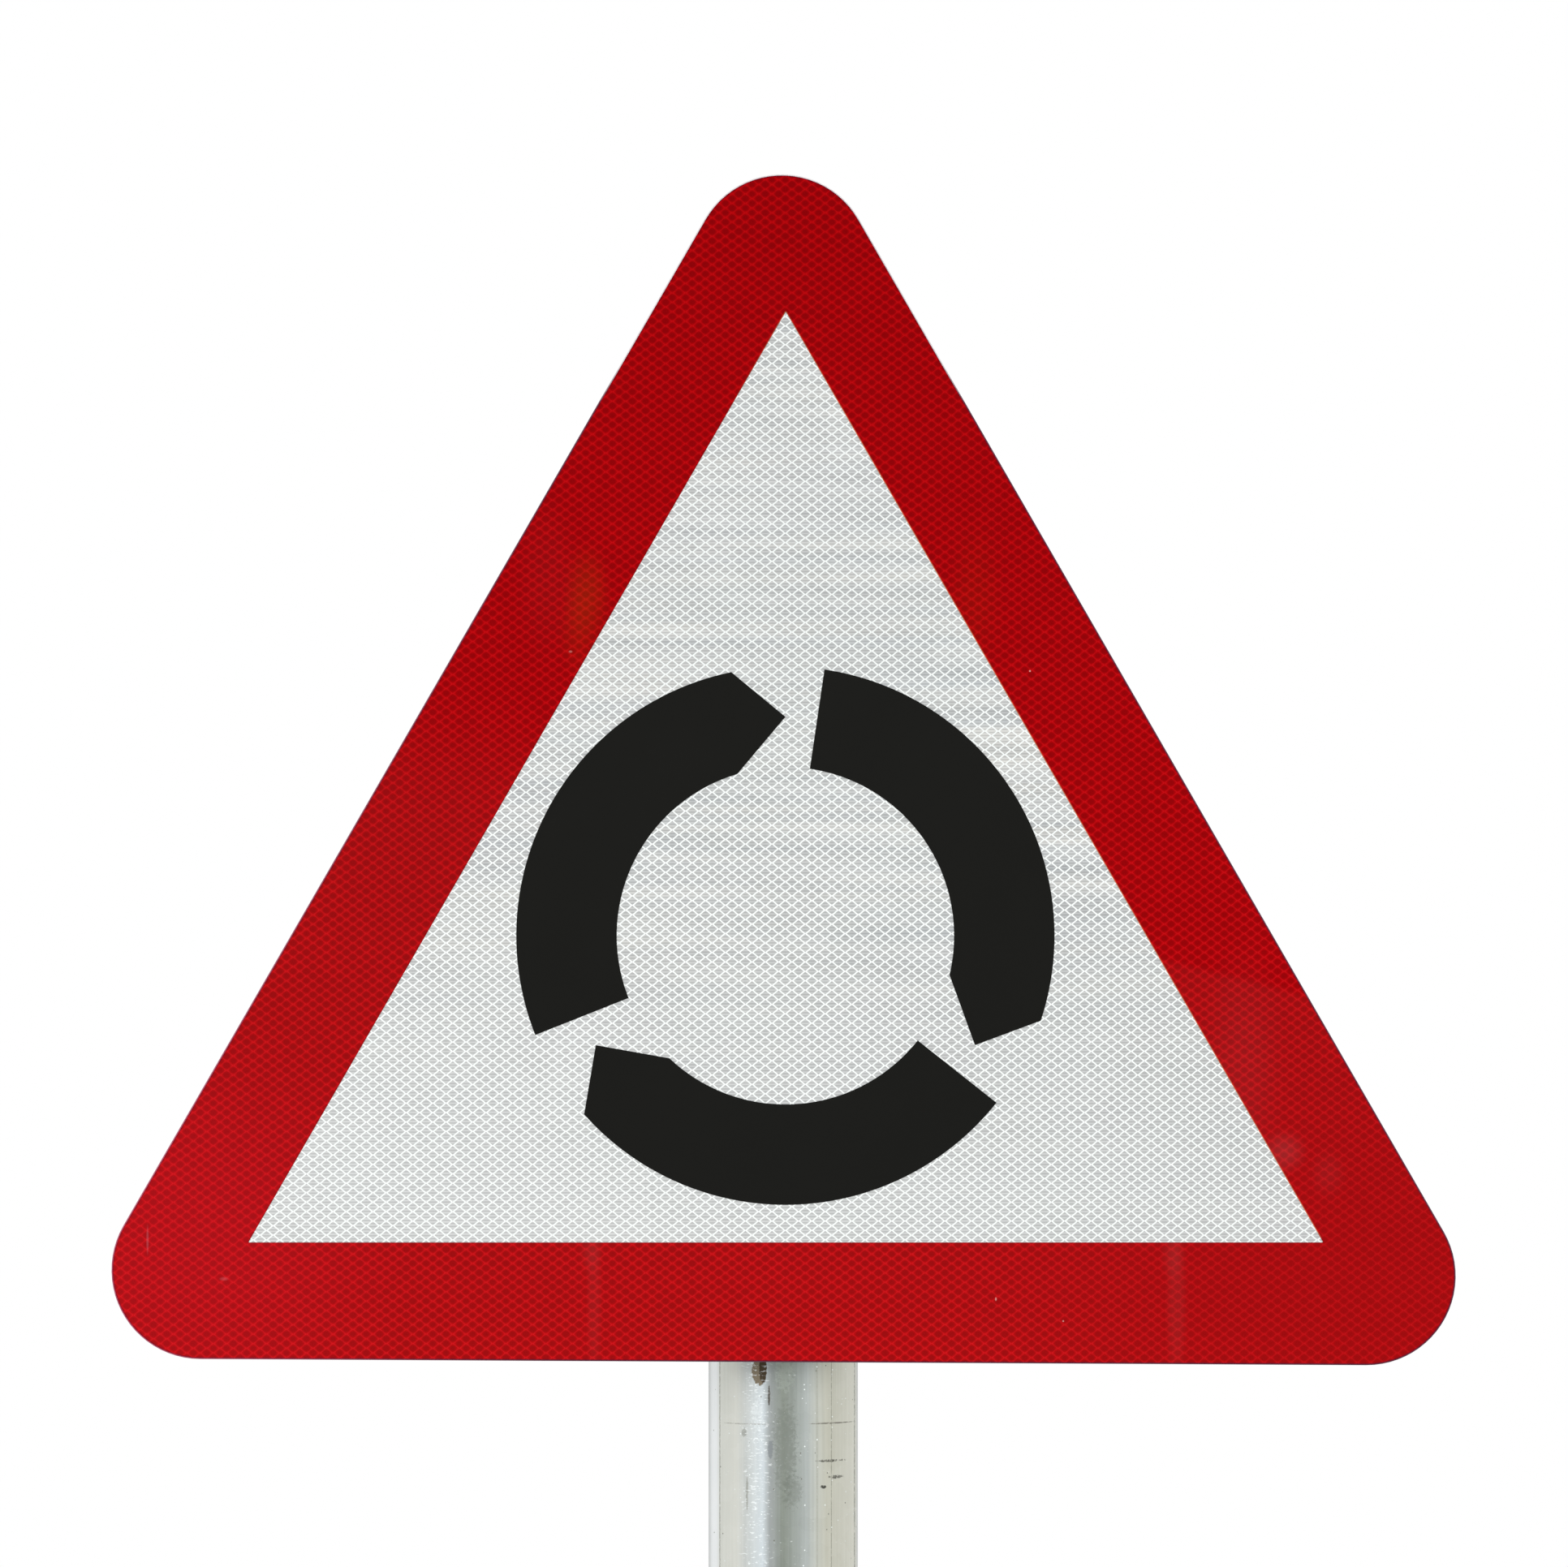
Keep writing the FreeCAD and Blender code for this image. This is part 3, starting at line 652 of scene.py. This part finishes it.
def lattice(node, place):
    """Diamond lattice: the vector in mm from the middle of the cell, and a vector that numbers it.

    Each family of seams lies where x over the cell's width, plus or minus z over its height, is
    a whole number. The fractions of the two values, less a half, are turned back into x and z.
    """
    offset = node("VectorMath", {0: place, 1: (LATTICE_X, 0.0, LATTICE_Z)}, operation="SUBTRACT")
    rising = (1.0 / CELL_WIDTH, 0.0, 1.0 / CELL_HEIGHT)
    falling = (1.0 / CELL_WIDTH, 0.0, -1.0 / CELL_HEIGHT)
    counts = [node("VectorMath", {0: offset, 1: way}, operation="DOT_PRODUCT") for way in (rising, falling)]
    pair = node("CombineXYZ", {"X": counts[0], "Y": counts[1]})
    number = node("VectorMath", {0: pair}, operation="FLOOR")
    part = node("VectorMath", {0: pair}, operation="FRACTION")
    part = node("VectorMath", {0: part, 1: (0.5, 0.5, 0.0)}, operation="SUBTRACT")
    halves = (CELL_WIDTH / 2.0, CELL_WIDTH / 2.0, 0.0), (CELL_HEIGHT / 2.0, -CELL_HEIGHT / 2.0, 0.0)
    across, up = (node("VectorMath", {0: part, 1: half}, operation="DOT_PRODUCT") for half in halves)
    return node("CombineXYZ", {"X": across, "Z": up}), number


def seams(node, from_middle, inner, outer):
    """0 in a diamond round the cell's middle and 1 on the seams, between two shares of its half sizes."""
    size = node("VectorMath", {0: from_middle}, operation="ABSOLUTE")
    weights = (1.0 / CELL_HALF_WIDTH, 0.0, 1.0 / CELL_HALF_HEIGHT)
    reach = node("VectorMath", {0: size, 1: weights}, operation="DOT_PRODUCT")
    return node("MapRange", {"Value": reach, "From Min": inner, "From Max": outer}, **SMOOTH)


def wave(node, place, tilt, pitch, crest_z):
    """Level ripple, from -1 to 1: a cosine of z over its pitch, from a crest on, tilted a little with x."""
    count = node("VectorMath", {0: place, 1: (tilt, 0.0, 1.0 / pitch)}, operation="DOT_PRODUCT")
    start = (crest_z / pitch) % 1.0
    turn = node("Math", {0: count, 1: 2.0 * math.pi, 2: -2.0 * math.pi * start}, operation="MULTIPLY_ADD")
    return node("Math", {0: turn}, operation="COSINE")


def reflective_sheeting(node, place):
    """Microprismatic road-sign sheeting: a clear acrylic face over sealed cells of moulded prisms.

    Its seams read near-white, and its cells grey with fine level rows of prisms. Level bars and
    streaks run across it, strongest at the right, and below them what the prisms mirror shows
    as faint squared blocks. The prism rows are drawn at their photographed pitch.
    """
    from_middle, number = lattice(node, place)
    here_z = node("SeparateXYZ", {"Vector": place}).outputs["Z"]
    streak = drawn_noise(node, place, (300.0, math.inf, 8.5), 3.0, 0.6)
    upper = node(
        "MapRange", {"Value": here_z, "From Min": 1050.0, "From Max": 1120.0, "To Min": 0.3, "To Max": 0.9}
    )
    mirrored = patch(node, place, 120.0, 1195.0, 55.0, 60.0, 0.6)
    strength = node("Math", {0: mirrored, 1: 0.5, 2: upper}, operation="MULTIPLY_ADD")
    centred = node("Math", {0: streak, 1: 0.5}, operation="SUBTRACT")
    swing = node("Math", {0: centred, 1: strength, 2: 0.5}, operation="MULTIPLY_ADD")
    cell = node("ValToRGB", {"Fac": swing}, stops=[(0.15, "#B0B6BA"), (0.5, "#C5C7C7"), (0.85, "#DDDCD7")])
    high = node("MapRange", {"Value": here_z, "From Min": 1130.0, "From Max": 1290.0})
    broad = node("MapRange", {"Value": mirrored, "To Min": 0.03, "To Max": 0.09})
    narrow = node("Math", {0: high, 1: 0.05}, operation="MULTIPLY")
    for pitch, depth in ((BAR_PITCH, broad), (BAR_PITCH / 2.0, narrow)):
        bars = wave(node, place, BAR_TILT, pitch, BAR_Z)
        depth = node("Math", {0: depth, 1: upper}, operation="MULTIPLY")
        bar = node("Math", {0: bars, 1: depth, 2: 1.0}, operation="MULTIPLY_ADD")
        cell = node("Mix", {"Factor": 1.0, "A": cell, "B": bar}, blend_type="MULTIPLY")
    blocks = node("VectorMath", {0: place, 1: (1.0 / 46.0, 0.0, 1.0 / 30.0)}, operation="MULTIPLY")
    block = node("TexVoronoi", {"Vector": blocks, "Scale": 1.0}, distance="CHEBYCHEV")
    block = node("SeparateColor", {"Color": block.outputs["Color"]})
    shade = node("MapRange", {"Value": block, "To Min": 0.965, "To Max": 1.02})
    cell = node("Mix", {"Factor": 1.0, "A": cell, "B": shade}, blend_type="MULTIPLY")
    lower_left = node("VectorMath", {0: place, 1: (-0.3, 0.0, -1.0)}, operation="DOT_PRODUCT")
    low = node("MapRange", {"Value": lower_left, "From Min": -1110.0, "From Max": -930.0, "To Max": 0.60})
    cell = node("Mix", {"Factor": low, "A": cell, "B": "#DADCDC"})
    rows = wave(node, place, PRISM_ROW_TILT, PRISM_ROW_PITCH, CENTRE_Z + PRISM_ROW_START * PRISM_ROW_PITCH)
    crest = node(
        "MapRange", {"Value": rows, "From Min": -1.0, "From Max": 1.0, "To Min": 0.80, "To Max": 1.12}
    )
    chance = node("TexWhiteNoise", {"Vector": number}, noise_dimensions="2D")
    uneven = node("MapRange", {"Value": chance, "To Min": 0.97, "To Max": 1.02})
    for factor in (crest, uneven):
        cell = node("Mix", {"Factor": 1.0, "A": cell, "B": factor}, blend_type="MULTIPLY")
    seam = seams(node, from_middle, 0.97, 1.14)
    weld = node("Mix", {"Factor": high, "A": "#FBFFFE", "B": "#F4F8F7"})
    face = node("Mix", {"Factor": seam, "A": cell, "B": weld})
    tint = node("TexNoise", {"Vector": place, "Scale": 1.0 / 50.0, "Detail": 3.0})
    face = node("Mix", {"Factor": 0.02, "A": face, "B": tint.outputs["Color"]}, blend_type="SOFT_LIGHT")
    emboss = node("Bump", {"Height": seam, "Strength": 0.2, "Distance": 0.03 * MILLIMETRE})
    return {"Base Color": face, "Roughness": 0.42, "Specular IOR Level": 0.1, "Normal": emboss}


def red_film(node, place):
    """Translucent red film over the sheeting: the cells show through as darker ovals.

    It is paler towards the bottom and the bottom left, a painted sheen, and carries a faint painted
    reflection below a line that falls to the right, with a rust run, worn streaks and nicks. Its cut
    edges carry painted shade, and the inner edge at the right a painted light.
    """
    from_middle, number = lattice(node, place)
    here_x, _, here_z = node("SeparateXYZ", {"Vector": place}).outputs
    cloud = node("TexNoise", {"Vector": place, "Scale": 1.0 / 90.0, "Detail": 3.0})
    # Painted sheen: the reds grow paler towards the bottom, along a clouded gradient.
    height = node("Math", {0: cloud, 1: -160.0, 2: here_z}, operation="MULTIPLY_ADD")
    painted_sheen = node("MapRange", {"Value": height, "From Min": 1390.0, "From Max": 820.0})
    chance = node("TexWhiteNoise", {"Vector": number}, noise_dimensions="2D")
    size = node("MapRange", {"Value": chance, "To Min": -0.07, "To Max": 0.07})
    shares = (1.0 / OVAL_HALF_WIDTH, 0.0, 1.0 / OVAL_HALF_HEIGHT)
    scaled = node("VectorMath", {0: from_middle, 1: shares}, operation="MULTIPLY")
    radius = node("VectorMath", {0: scaled}, operation="LENGTH")
    reach = node("Math", {0: radius, 1: size})
    oval = node(
        "MapRange", {"Value": reach, "From Min": 0.40, "From Max": 1.14, "To Min": 1.0, "To Max": 0.0},
        **SMOOTH,
    )
    seam = seams(node, from_middle, 1.0, 1.3)
    # Each red is mixed from its own tone to a paler tone of painted sheen.
    ground, thread, dark = (
        node("Mix", {"Factor": painted_sheen, "A": fresh, "B": sheened_tone})
        for fresh, sheened_tone in (("#AE0005", "#C40207"), ("#B5060C", "#CE121A"), ("#880005", "#9C0307"))
    )
    face = node("Mix", {"Factor": seam, "A": ground, "B": thread})
    face = node("Mix", {"Factor": oval, "A": face, "B": dark})
    # Painted reflection: a faint pale pink lift below a line that falls to the right, soft at the left and crisp
    # at the right.
    slope = node("VectorMath", {0: place, 1: (0.25, 0.0, 1.0)}, operation="DOT_PRODUCT")
    soft = node("MapRange", {"Value": slope, "From Min": 1205.0, "From Max": 1120.0}, **SMOOTH)
    crisp = node("MapRange", {"Value": slope, "From Min": 1154.0, "From Max": 1148.0}, **SMOOTH)
    right = node("MapRange", {"Value": here_x, "From Min": -30.0, "From Max": 30.0})
    painted_horizon_reflection = node("Mix", {"Factor": right, "A": soft, "B": crisp}, data_type="FLOAT")
    painted_horizon_reflection = node("Math", {0: painted_horizon_reflection, 1: 0.006}, operation="MULTIPLY")
    face = node("Mix", {"Factor": painted_horizon_reflection, "A": face, "B": "#D8B4B4"})
    for x, z, half_width, half_height, blur, shade, strength in RED_MARKS:
        mask = patch(node, place, x, z, half_width, half_height, blur)
        amount = node("Math", {0: mask, 1: strength}, operation="MULTIPLY")
        face = node("Mix", {"Factor": amount, "A": face, "B": shade})
    # Painted shade: a dark purple band along the outer cut edge.
    outer = node("Attribute", attribute_name="from_outer_edge").outputs["Fac"]
    rim = node("MapRange", {"Value": outer, "From Min": 0.1, "From Max": 0.5, "To Min": 0.6, "To Max": 0.0})
    face = node("Mix", {"Factor": rim, "A": face, "B": "#3A0428"})
    # Painted shade and light along the inner cut edge: dark at the left and bottom, and a pale peach painted
    # light at the right, where it is lit.
    inner = node("Attribute", attribute_name="from_inner_edge").outputs["Fac"]
    lip = node("MapRange", {"Value": inner, "From Min": 0.1, "From Max": 0.5, "To Min": 0.5, "To Max": 0.0})
    above = node("MapRange", {"Value": here_z, "From Min": 962.0, "From Max": 965.0})
    lit = node("Math", {0: right, 1: above}, operation="MULTIPLY")
    lip_shade = node("Mix", {"Factor": lit, "A": "#7A0A0E", "B": "#F09A68"})
    face = node("Mix", {"Factor": lip, "A": face, "B": lip_shade})
    haze = node(
        "MapRange", {"Value": cloud, "From Min": 0.35, "From Max": 0.65, "To Min": 0.38, "To Max": 0.52}
    )
    emboss = node("Bump", {"Height": seam, "Strength": 0.15, "Distance": 0.03 * MILLIMETRE})
    return {"Base Color": face, "Roughness": haze, "Specular IOR Level": 0.02, "Normal": emboss}


def black_film(node, place):
    """Opaque black vinyl film: an even near-black, with the sheeting's seams just felt through it."""
    seam = seams(node, lattice(node, place)[0], 0.9, 1.2)
    cloud = node("TexNoise", {"Vector": place, "Scale": 1.0 / 40.0, "Detail": 4.0})
    face = node("Mix", {"Factor": cloud, "A": "#181816", "B": "#1A1A18"})
    rough = spread(node, cloud, 0.42, 0.5)
    emboss = node("Bump", {"Height": seam, "Strength": 0.1, "Distance": 0.02 * MILLIMETRE})
    return {"Base Color": face, "Roughness": rough, "Specular IOR Level": 0.04, "Normal": emboss}


def mill_aluminium(node, place):
    """Mill-finish aluminium sheet: pale grey, with fine rolling lines and a cloudy oxide bloom.

    The margin bared round the sheeting carries a painted edge shade, dark purple-red, paler to the
    left and pale round the top corner.
    """
    lines = drawn_noise(node, place, (90.0, 1.0, 0.9), 3.0)
    cloud = node("TexNoise", {"Vector": place, "Scale": 1.0 / 80.0, "Detail": 5.0, "Roughness": 0.6})
    tone = spread(node, cloud, 0.0, 1.0)
    face = node("Mix", {"Factor": tone, "A": "#B3B6B8", "B": "#CDD0D1"})
    face = node("Mix", {"Factor": 0.35, "A": face, "B": lines}, blend_type="SOFT_LIGHT")
    here_x, here_y, here_z = node("SeparateXYZ", {"Vector": place}).outputs
    # Painted shade: the bared margin's rim is coloured dark purple-red, paler to the left and pale round the top
    # corner.
    rim = PLATE_FRONT + PLATE_EDGE
    shaded_margin = node(
        "MapRange", {"Value": here_y, "From Min": rim, "From Max": rim + PLATE_EDGE, "To Min": 1.0, "To Max": 0.0}
    )
    leftward = node("MapRange", {"Value": here_x, "From Min": -120.0, "From Max": -320.0})
    painted_edge_shade = node("Mix", {"Factor": leftward, "A": "#5C1034", "B": "#B8506C"})
    pale_top = node("MapRange", {"Value": here_z, "From Min": 1385.0, "From Max": 1405.0})
    painted_edge_shade = node("Mix", {"Factor": pale_top, "A": painted_edge_shade, "B": "#E4DADD"})
    face = node("Mix", {"Factor": shaded_margin, "A": face, "B": painted_edge_shade})
    bare = node("MapRange", {"Value": shaded_margin, "To Min": 1.0, "To Max": 0.0})
    rough = spread(node, lines, 0.34, 0.5)
    relief = node("Bump", {"Height": lines, "Strength": 0.25, "Distance": 0.01 * MILLIMETRE})
    return {"Base Color": face, "Metallic": bare, "Roughness": rough, "Normal": relief}


def extruded_aluminium(node, place):
    """Extruded aluminium channel: die lines run its whole length, brighter than the rolled sheet."""
    lines = drawn_noise(node, place, (400.0, 0.7, 0.7), 4.0)
    cloud = node("TexNoise", {"Vector": place, "Scale": 1.0 / 35.0, "Detail": 4.0})
    face = node("Mix", {"Factor": lines, "A": "#A9ACAE", "B": "#D5D7D8"})
    face = node("Mix", {"Factor": 0.3, "A": face, "B": cloud}, blend_type="SOFT_LIGHT")
    rough = spread(node, lines, 0.28, 0.44)
    relief = node("Bump", {"Height": lines, "Strength": 0.4, "Distance": 0.02 * MILLIMETRE})
    return {"Base Color": face, "Metallic": 1.0, "Roughness": rough, "Normal": relief}


def zinc_ground(node, place, crystal_size):
    """Hot-dip zinc: crystals of a size in mm, each its own grey, under a dull cloudy bloom."""
    warp = node("TexNoise", {"Vector": place, "Scale": 1.0 / 6.0})
    pushed = node(
        "VectorMath", {0: warp.outputs["Color"], 1: (5.0, 5.0, 5.0), 2: place}, operation="MULTIPLY_ADD"
    )
    crystal = node("TexVoronoi", {"Vector": pushed, "Scale": 1.0 / crystal_size})
    tone = node("SeparateColor", {"Color": crystal.outputs["Color"]})
    cloud = node("TexNoise", {"Vector": place, "Scale": 1.0 / 45.0, "Detail": 6.0, "Roughness": 0.62})
    return tone, cloud


def galvanised_post(node, place):
    """Hot-dip galvanised tube, weather-worn: pale dull zinc with upright bands of painted reflection, scored and
    flecked.

    The front has the photographed bands, which are painted reflections, a painted highlight streak, a
    rust run from under the sign, a scored ring, upright hairlines and rubbed scuffs; the rest carries
    plain zinc. The spangle is only just visible.
    """
    crystal, cloud = zinc_ground(node, place, 9.0)
    here_x, here_y, _ = node("SeparateXYZ", {"Vector": place}).outputs
    sway = drawn_noise(node, place, (math.inf, math.inf, 45.0), 4.0, 0.6)
    shift = node("Math", {0: sway, 1: 11.0, 2: -5.5}, operation="MULTIPLY_ADD")
    middle = node("MapRange", {"Value": here_x, "From Min": -22.0, "From Max": 22.0})
    middle = node("Math", {0: middle, 1: 0.5}, operation="PINGPONG")
    moved = node("Math", {0: shift, 1: middle, 2: here_x}, operation="MULTIPLY_ADD")
    across = node("MapRange", {"Value": moved, "From Min": -POST_RADIUS, "From Max": POST_RADIUS})
    # Painted reflections: upright bands of light and shade across the front, with a painted highlight at the left
    # rim and a painted dark reflection near the middle.
    painted_reflection_bands = node("ValToRGB", {"Fac": across}, stops=[
        ((x / POST_RADIUS + 1.0) / 2.0, shade) for x, shade in POST_REFLECTION_BANDS
    ])
    plain = node("Mix", {"Factor": cloud, "A": "#B4B8B8", "B": "#D2D5D4"})
    side = node("MapRange", {"Value": here_y, "From Min": -2.0, "From Max": -14.0}, **SMOOTH)
    face = node("Mix", {"Factor": side, "A": plain, "B": painted_reflection_bands})
    face = node("Mix", {"Factor": 0.05, "A": face, "B": crystal}, blend_type="SOFT_LIGHT")
    face = node("Mix", {"Factor": 0.25, "A": face, "B": cloud}, blend_type="SOFT_LIGHT")
    lines = drawn_noise(node, place, (1.2, 1.2, 60.0), 3.0)
    face = node("Mix", {"Factor": 0.25, "A": face, "B": lines}, blend_type="SOFT_LIGHT")
    grit = node("TexNoise", {"Vector": place, "Scale": 1.0 / 1.7, "Detail": 3.0, "Roughness": 0.7})
    # The first dark patch is a painted dark reflection, and the pale patch at x -13.5 is a painted highlight.
    for x, z, half_width, half_height, blur, shade, strength, cover in POST_MARKS:
        mask = patch(node, place, x, z, half_width, half_height, blur)
        front = node("Math", {0: mask, 1: side}, operation="MULTIPLY")
        worn = node("Math", {0: front, 1: cover, 2: grit}, operation="MULTIPLY_ADD")
        amount = node("MapRange", {"Value": worn, "From Min": 0.98, "From Max": 1.16, "To Max": strength})
        face = node("Mix", {"Factor": amount, "A": face, "B": shade})
    # Painted highlight: a broken pale streak up the front, left of the middle.
    highlight_breakup = drawn_noise(node, place, (2.6, 2.6, 0.9), 2.0, 0.6)
    streak = patch(node, place, -13.5, 860.0, 7.5, 400.0, 0.6)
    streak = node("Math", {0: streak, 1: side}, operation="MULTIPLY")
    painted_highlight_streak = node("Math", {0: streak, 1: 0.13, 2: highlight_breakup}, operation="MULTIPLY_ADD")
    highlight_amount = node("MapRange", {"Value": painted_highlight_streak, "From Min": 0.70, "From Max": 0.80, "To Max": 0.6})
    face = node("Mix", {"Factor": highlight_amount, "A": face, "B": "#F6FAFB"})
    speck = node("TexVoronoi", {"Vector": place, "Scale": 1.0 / 2.6})
    fleck = node(
        "MapRange", {"Value": speck, "From Min": 0.10, "From Max": 0.18, "To Min": 1.0, "To Max": 0.0}
    )
    kind = node("SeparateColor", {"Color": speck.outputs["Color"]})
    for part, least, shade in (("Green", 0.86, "#EDF2F2"), ("Blue", 0.95, "#74746A")):
        some = node("Math", {0: kind.outputs[part], 1: least}, operation="GREATER_THAN")
        dots = node("Math", {0: fleck, 1: some}, operation="MULTIPLY")
        face = node("Mix", {"Factor": dots, "A": face, "B": shade})
    rough = spread(node, cloud, 0.42, 0.6)
    relief = node("Bump", {"Height": grit, "Strength": 0.3, "Distance": 0.08 * MILLIMETRE})
    return {"Base Color": face, "Metallic": 0.7, "Roughness": rough, "Normal": relief}


def galvanised_strip(node, place):
    """Galvanised steel strip of the clips: fresh zinc, sheltered by the plate, with visible crystals."""
    crystal, cloud = zinc_ground(node, place, 6.0)
    face = node("Mix", {"Factor": crystal, "A": "#A9AEB0", "B": "#C0C4C5"})
    face = node("Mix", {"Factor": 0.4, "A": face, "B": cloud}, blend_type="SOFT_LIGHT")
    rough = node("MapRange", {"Value": crystal, "To Min": 0.38, "To Max": 0.48})
    relief = node("Bump", {"Height": cloud, "Strength": 0.3, "Distance": 0.1 * MILLIMETRE})
    return {"Base Color": face, "Metallic": 0.9, "Roughness": rough, "Normal": relief}


def zinc_plated(node, place):
    """Bright zinc-plated fasteners: smooth silver with a faint blue cast, dulling in patches."""
    cloud = node("TexNoise", {"Vector": place, "Scale": 1.0 / 5.0, "Detail": 5.0})
    tone = spread(node, cloud, 0.0, 1.0)
    face = node("Mix", {"Factor": tone, "A": "#A6ACB3", "B": "#CDD2D8"})
    rough = spread(node, cloud, 0.22, 0.38)
    relief = node("Bump", {"Height": cloud, "Strength": 0.15, "Distance": 0.05 * MILLIMETRE})
    return {"Base Color": face, "Metallic": 1.0, "Roughness": rough, "Normal": relief}


def cap_plastic(node, place):
    """Moulded polyethylene cap: off-black with a fine spark-eroded grain, clouded a little paler."""
    grain = node("TexNoise", {"Vector": place, "Scale": 1.0 / 0.8, "Detail": 3.0})
    cloud = node("TexNoise", {"Vector": place, "Scale": 1.0 / 18.0, "Detail": 4.0})
    face = node("Mix", {"Factor": cloud, "A": "#1E1F20", "B": "#34363A"})
    rough = spread(node, cloud, 0.48, 0.62)
    relief = node("Bump", {"Height": grain, "Strength": 0.3, "Distance": 0.1 * MILLIMETRE})
    return {"Base Color": face, "Roughness": rough, "Specular IOR Level": 0.4, "Normal": relief}


def foam_tape(node, place):
    """Closed-cell acrylic foam tape: dark grey, matt, with fine pores on its cut sides."""
    pores = node("TexVoronoi", {"Vector": place, "Scale": 1.0 / 0.35})
    face = node("Mix", {"Factor": pores, "A": "#3A3C3D", "B": "#6A6D6E"})
    relief = node("Bump", {"Height": pores, "Strength": 0.5, "Distance": 0.1 * MILLIMETRE})
    return {"Base Color": face, "Roughness": 0.85, "Specular IOR Level": 0.3, "Normal": relief}


def pale_floor(node, place):
    """Matt studio floor: a pale warm grey, barely clouded."""
    cloud = node("TexNoise", {"Vector": place, "Scale": 1.0 / 700.0})
    return {"Color": node("Mix", {"Factor": cloud, "A": "#E9E9E6", "B": "#EDEDEB"})}


# ---- camera, light and floor ----


def make_camera():
    """Level camera square to the face, far off, whose frame spans the photographed width."""
    data = bpy.data.cameras.new("photograph")
    data.sensor_width = SENSOR_WIDTH
    data.lens = SENSOR_WIDTH * VIEW_DISTANCE / VIEW_WIDTH
    camera = put("photograph", data)
    camera.location = np.array([VIEW_CENTRE_X, FILM_FRONT - VIEW_DISTANCE, VIEW_CENTRE_Z]) * MILLIMETRE
    camera.rotation_euler = (math.pi / 2.0, 0.0, 0.0)
    bpy.context.scene.camera = camera


def make_lamp(name, place, watts):
    """Soft square lamp at a place in metres, aimed at the middle of the object."""
    data = bpy.data.lights.new(name, "AREA")
    data.size = LAMP_SIZE
    data.energy = watts
    lamp = put(name, data)
    lamp.location = place
    direction = mathutils.Vector(LAMP_AIM) - lamp.location
    lamp.rotation_euler = direction.to_track_quat("-Z", "Y").to_euler()
    lamp.visible_camera = False


def make_world():
    """Even studio light on the object, and plain white where the camera or a reflection looks past it."""
    world = bpy.data.worlds.new("studio")
    world.use_nodes = True
    world.node_tree.nodes.clear()
    node = functools.partial(add, world.node_tree)
    rays = node("LightPath")
    seen = node(
        "Math", {0: rays.outputs["Is Camera Ray"], 1: rays.outputs["Is Glossy Ray"]}, operation="MAXIMUM"
    )
    seen = node("Math", {0: seen, 1: rays.outputs["Is Transmission Ray"]}, operation="MAXIMUM")
    light = node("Background", {"Color": "#FFFFFF", "Strength": WORLD_STRENGTH})
    backdrop = node("Background", {"Color": "#FFFFFF", "Strength": 1.0})
    shader = node("MixShader", {0: seen, 1: light, 2: backdrop})
    node("OutputWorld", {"Surface": shader})
    bpy.context.scene.world = world


def make_floor():
    """Plain pale floor under the post's foot."""
    mesh = bpy.data.meshes.new("floor")
    near, far = -FLOOR_HALF_SIZE, FLOOR_HALF_SIZE
    corners = [(near, near, 0.0), (far, near, 0.0), (far, far, 0.0), (near, far, 0.0)]
    mesh.from_pydata(corners, [], [(0, 1, 2, 3)])
    mesh.materials.append(material(pale_floor, "BsdfDiffuse"))
    put("floor", mesh)


bpy.context.scene.view_settings.view_transform = "Standard"
make_camera()
make_world()
for lamp_name, (lamp_place, lamp_watts) in LAMPS.items():
    make_lamp(lamp_name, lamp_place, lamp_watts)
make_floor()

# ---- the sign ----

zinc = material(zinc_plated)
strip_zinc = material(galvanised_strip)
extrusion = material(extruded_aluminium)
foam = material(foam_tape)
black = material(black_film)

surface(
    "cut_plate", node="sign_plate", slot="plate_aluminium", finish=material(mill_aluminium),
    **slab(plate_outline, PLATE_FRONT, PLATE_BACK, PLATE_EDGE),
)
surface(
    "reflective_face", node="white_sheeting", slot="sheeting_white", finish=material(reflective_sheeting),
    **slab(lambda inset: plate_outline(SHEETING_INSET + inset), SHEETING_FRONT, PLATE_FRONT, FILM_EDGE),
)
surface(
    "border_film", node="red_border", slot="film_red", finish=material(red_film),
    **border_film(FILM_FRONT, SHEETING_FRONT),
)
for arrow_name, tip_angle in ARROW_TIPS.items():
    surface(
        arrow_name + "_film", node=arrow_name, slot="film_black", finish=black,
        **arrow_film(tip_angle, FILM_FRONT, SHEETING_FRONT),
    )
surface("steel_post", node="post_tube", slot="galvanised_steel", finish=material(galvanised_post), **tube())
surface(
    "moulded_post_cap", node="post_cap", slot="cap_plastic", finish=material(cap_plastic), **moulded_cap(),
)

for level in ("upper", "lower"):
    stems = (level + "_left_", level + "_right_")
    bolt_places = [box_mm(stem + "washer")[1][0] for stem in stems]
    surface(
        level + "_extrusion", node=level + "_channel", slot="channel_aluminium", finish=extrusion,
        **channel(level + "_channel"),
    )
    surface(
        level + "_foam_strip", node=level + "_bonding_tape", slot="foam_tape", finish=foam,
        **foam_strip(level + "_bonding_tape"),
    )
    surface(
        level + "_bent_clip", node=level + "_clip", slot="galvanised_steel", finish=strip_zinc,
        **bent_clip(level + "_clip", bolt_places),
    )
    for stem in stems:
        for kind, shape in (("bolt", threaded_bolt), ("washer", flat_washer), ("nut", hex_nut)):
            surface(
                stem + "plated_" + kind, node=stem + kind, slot="zinc_fasteners", finish=zinc,
                **shape(stem + kind),
            )
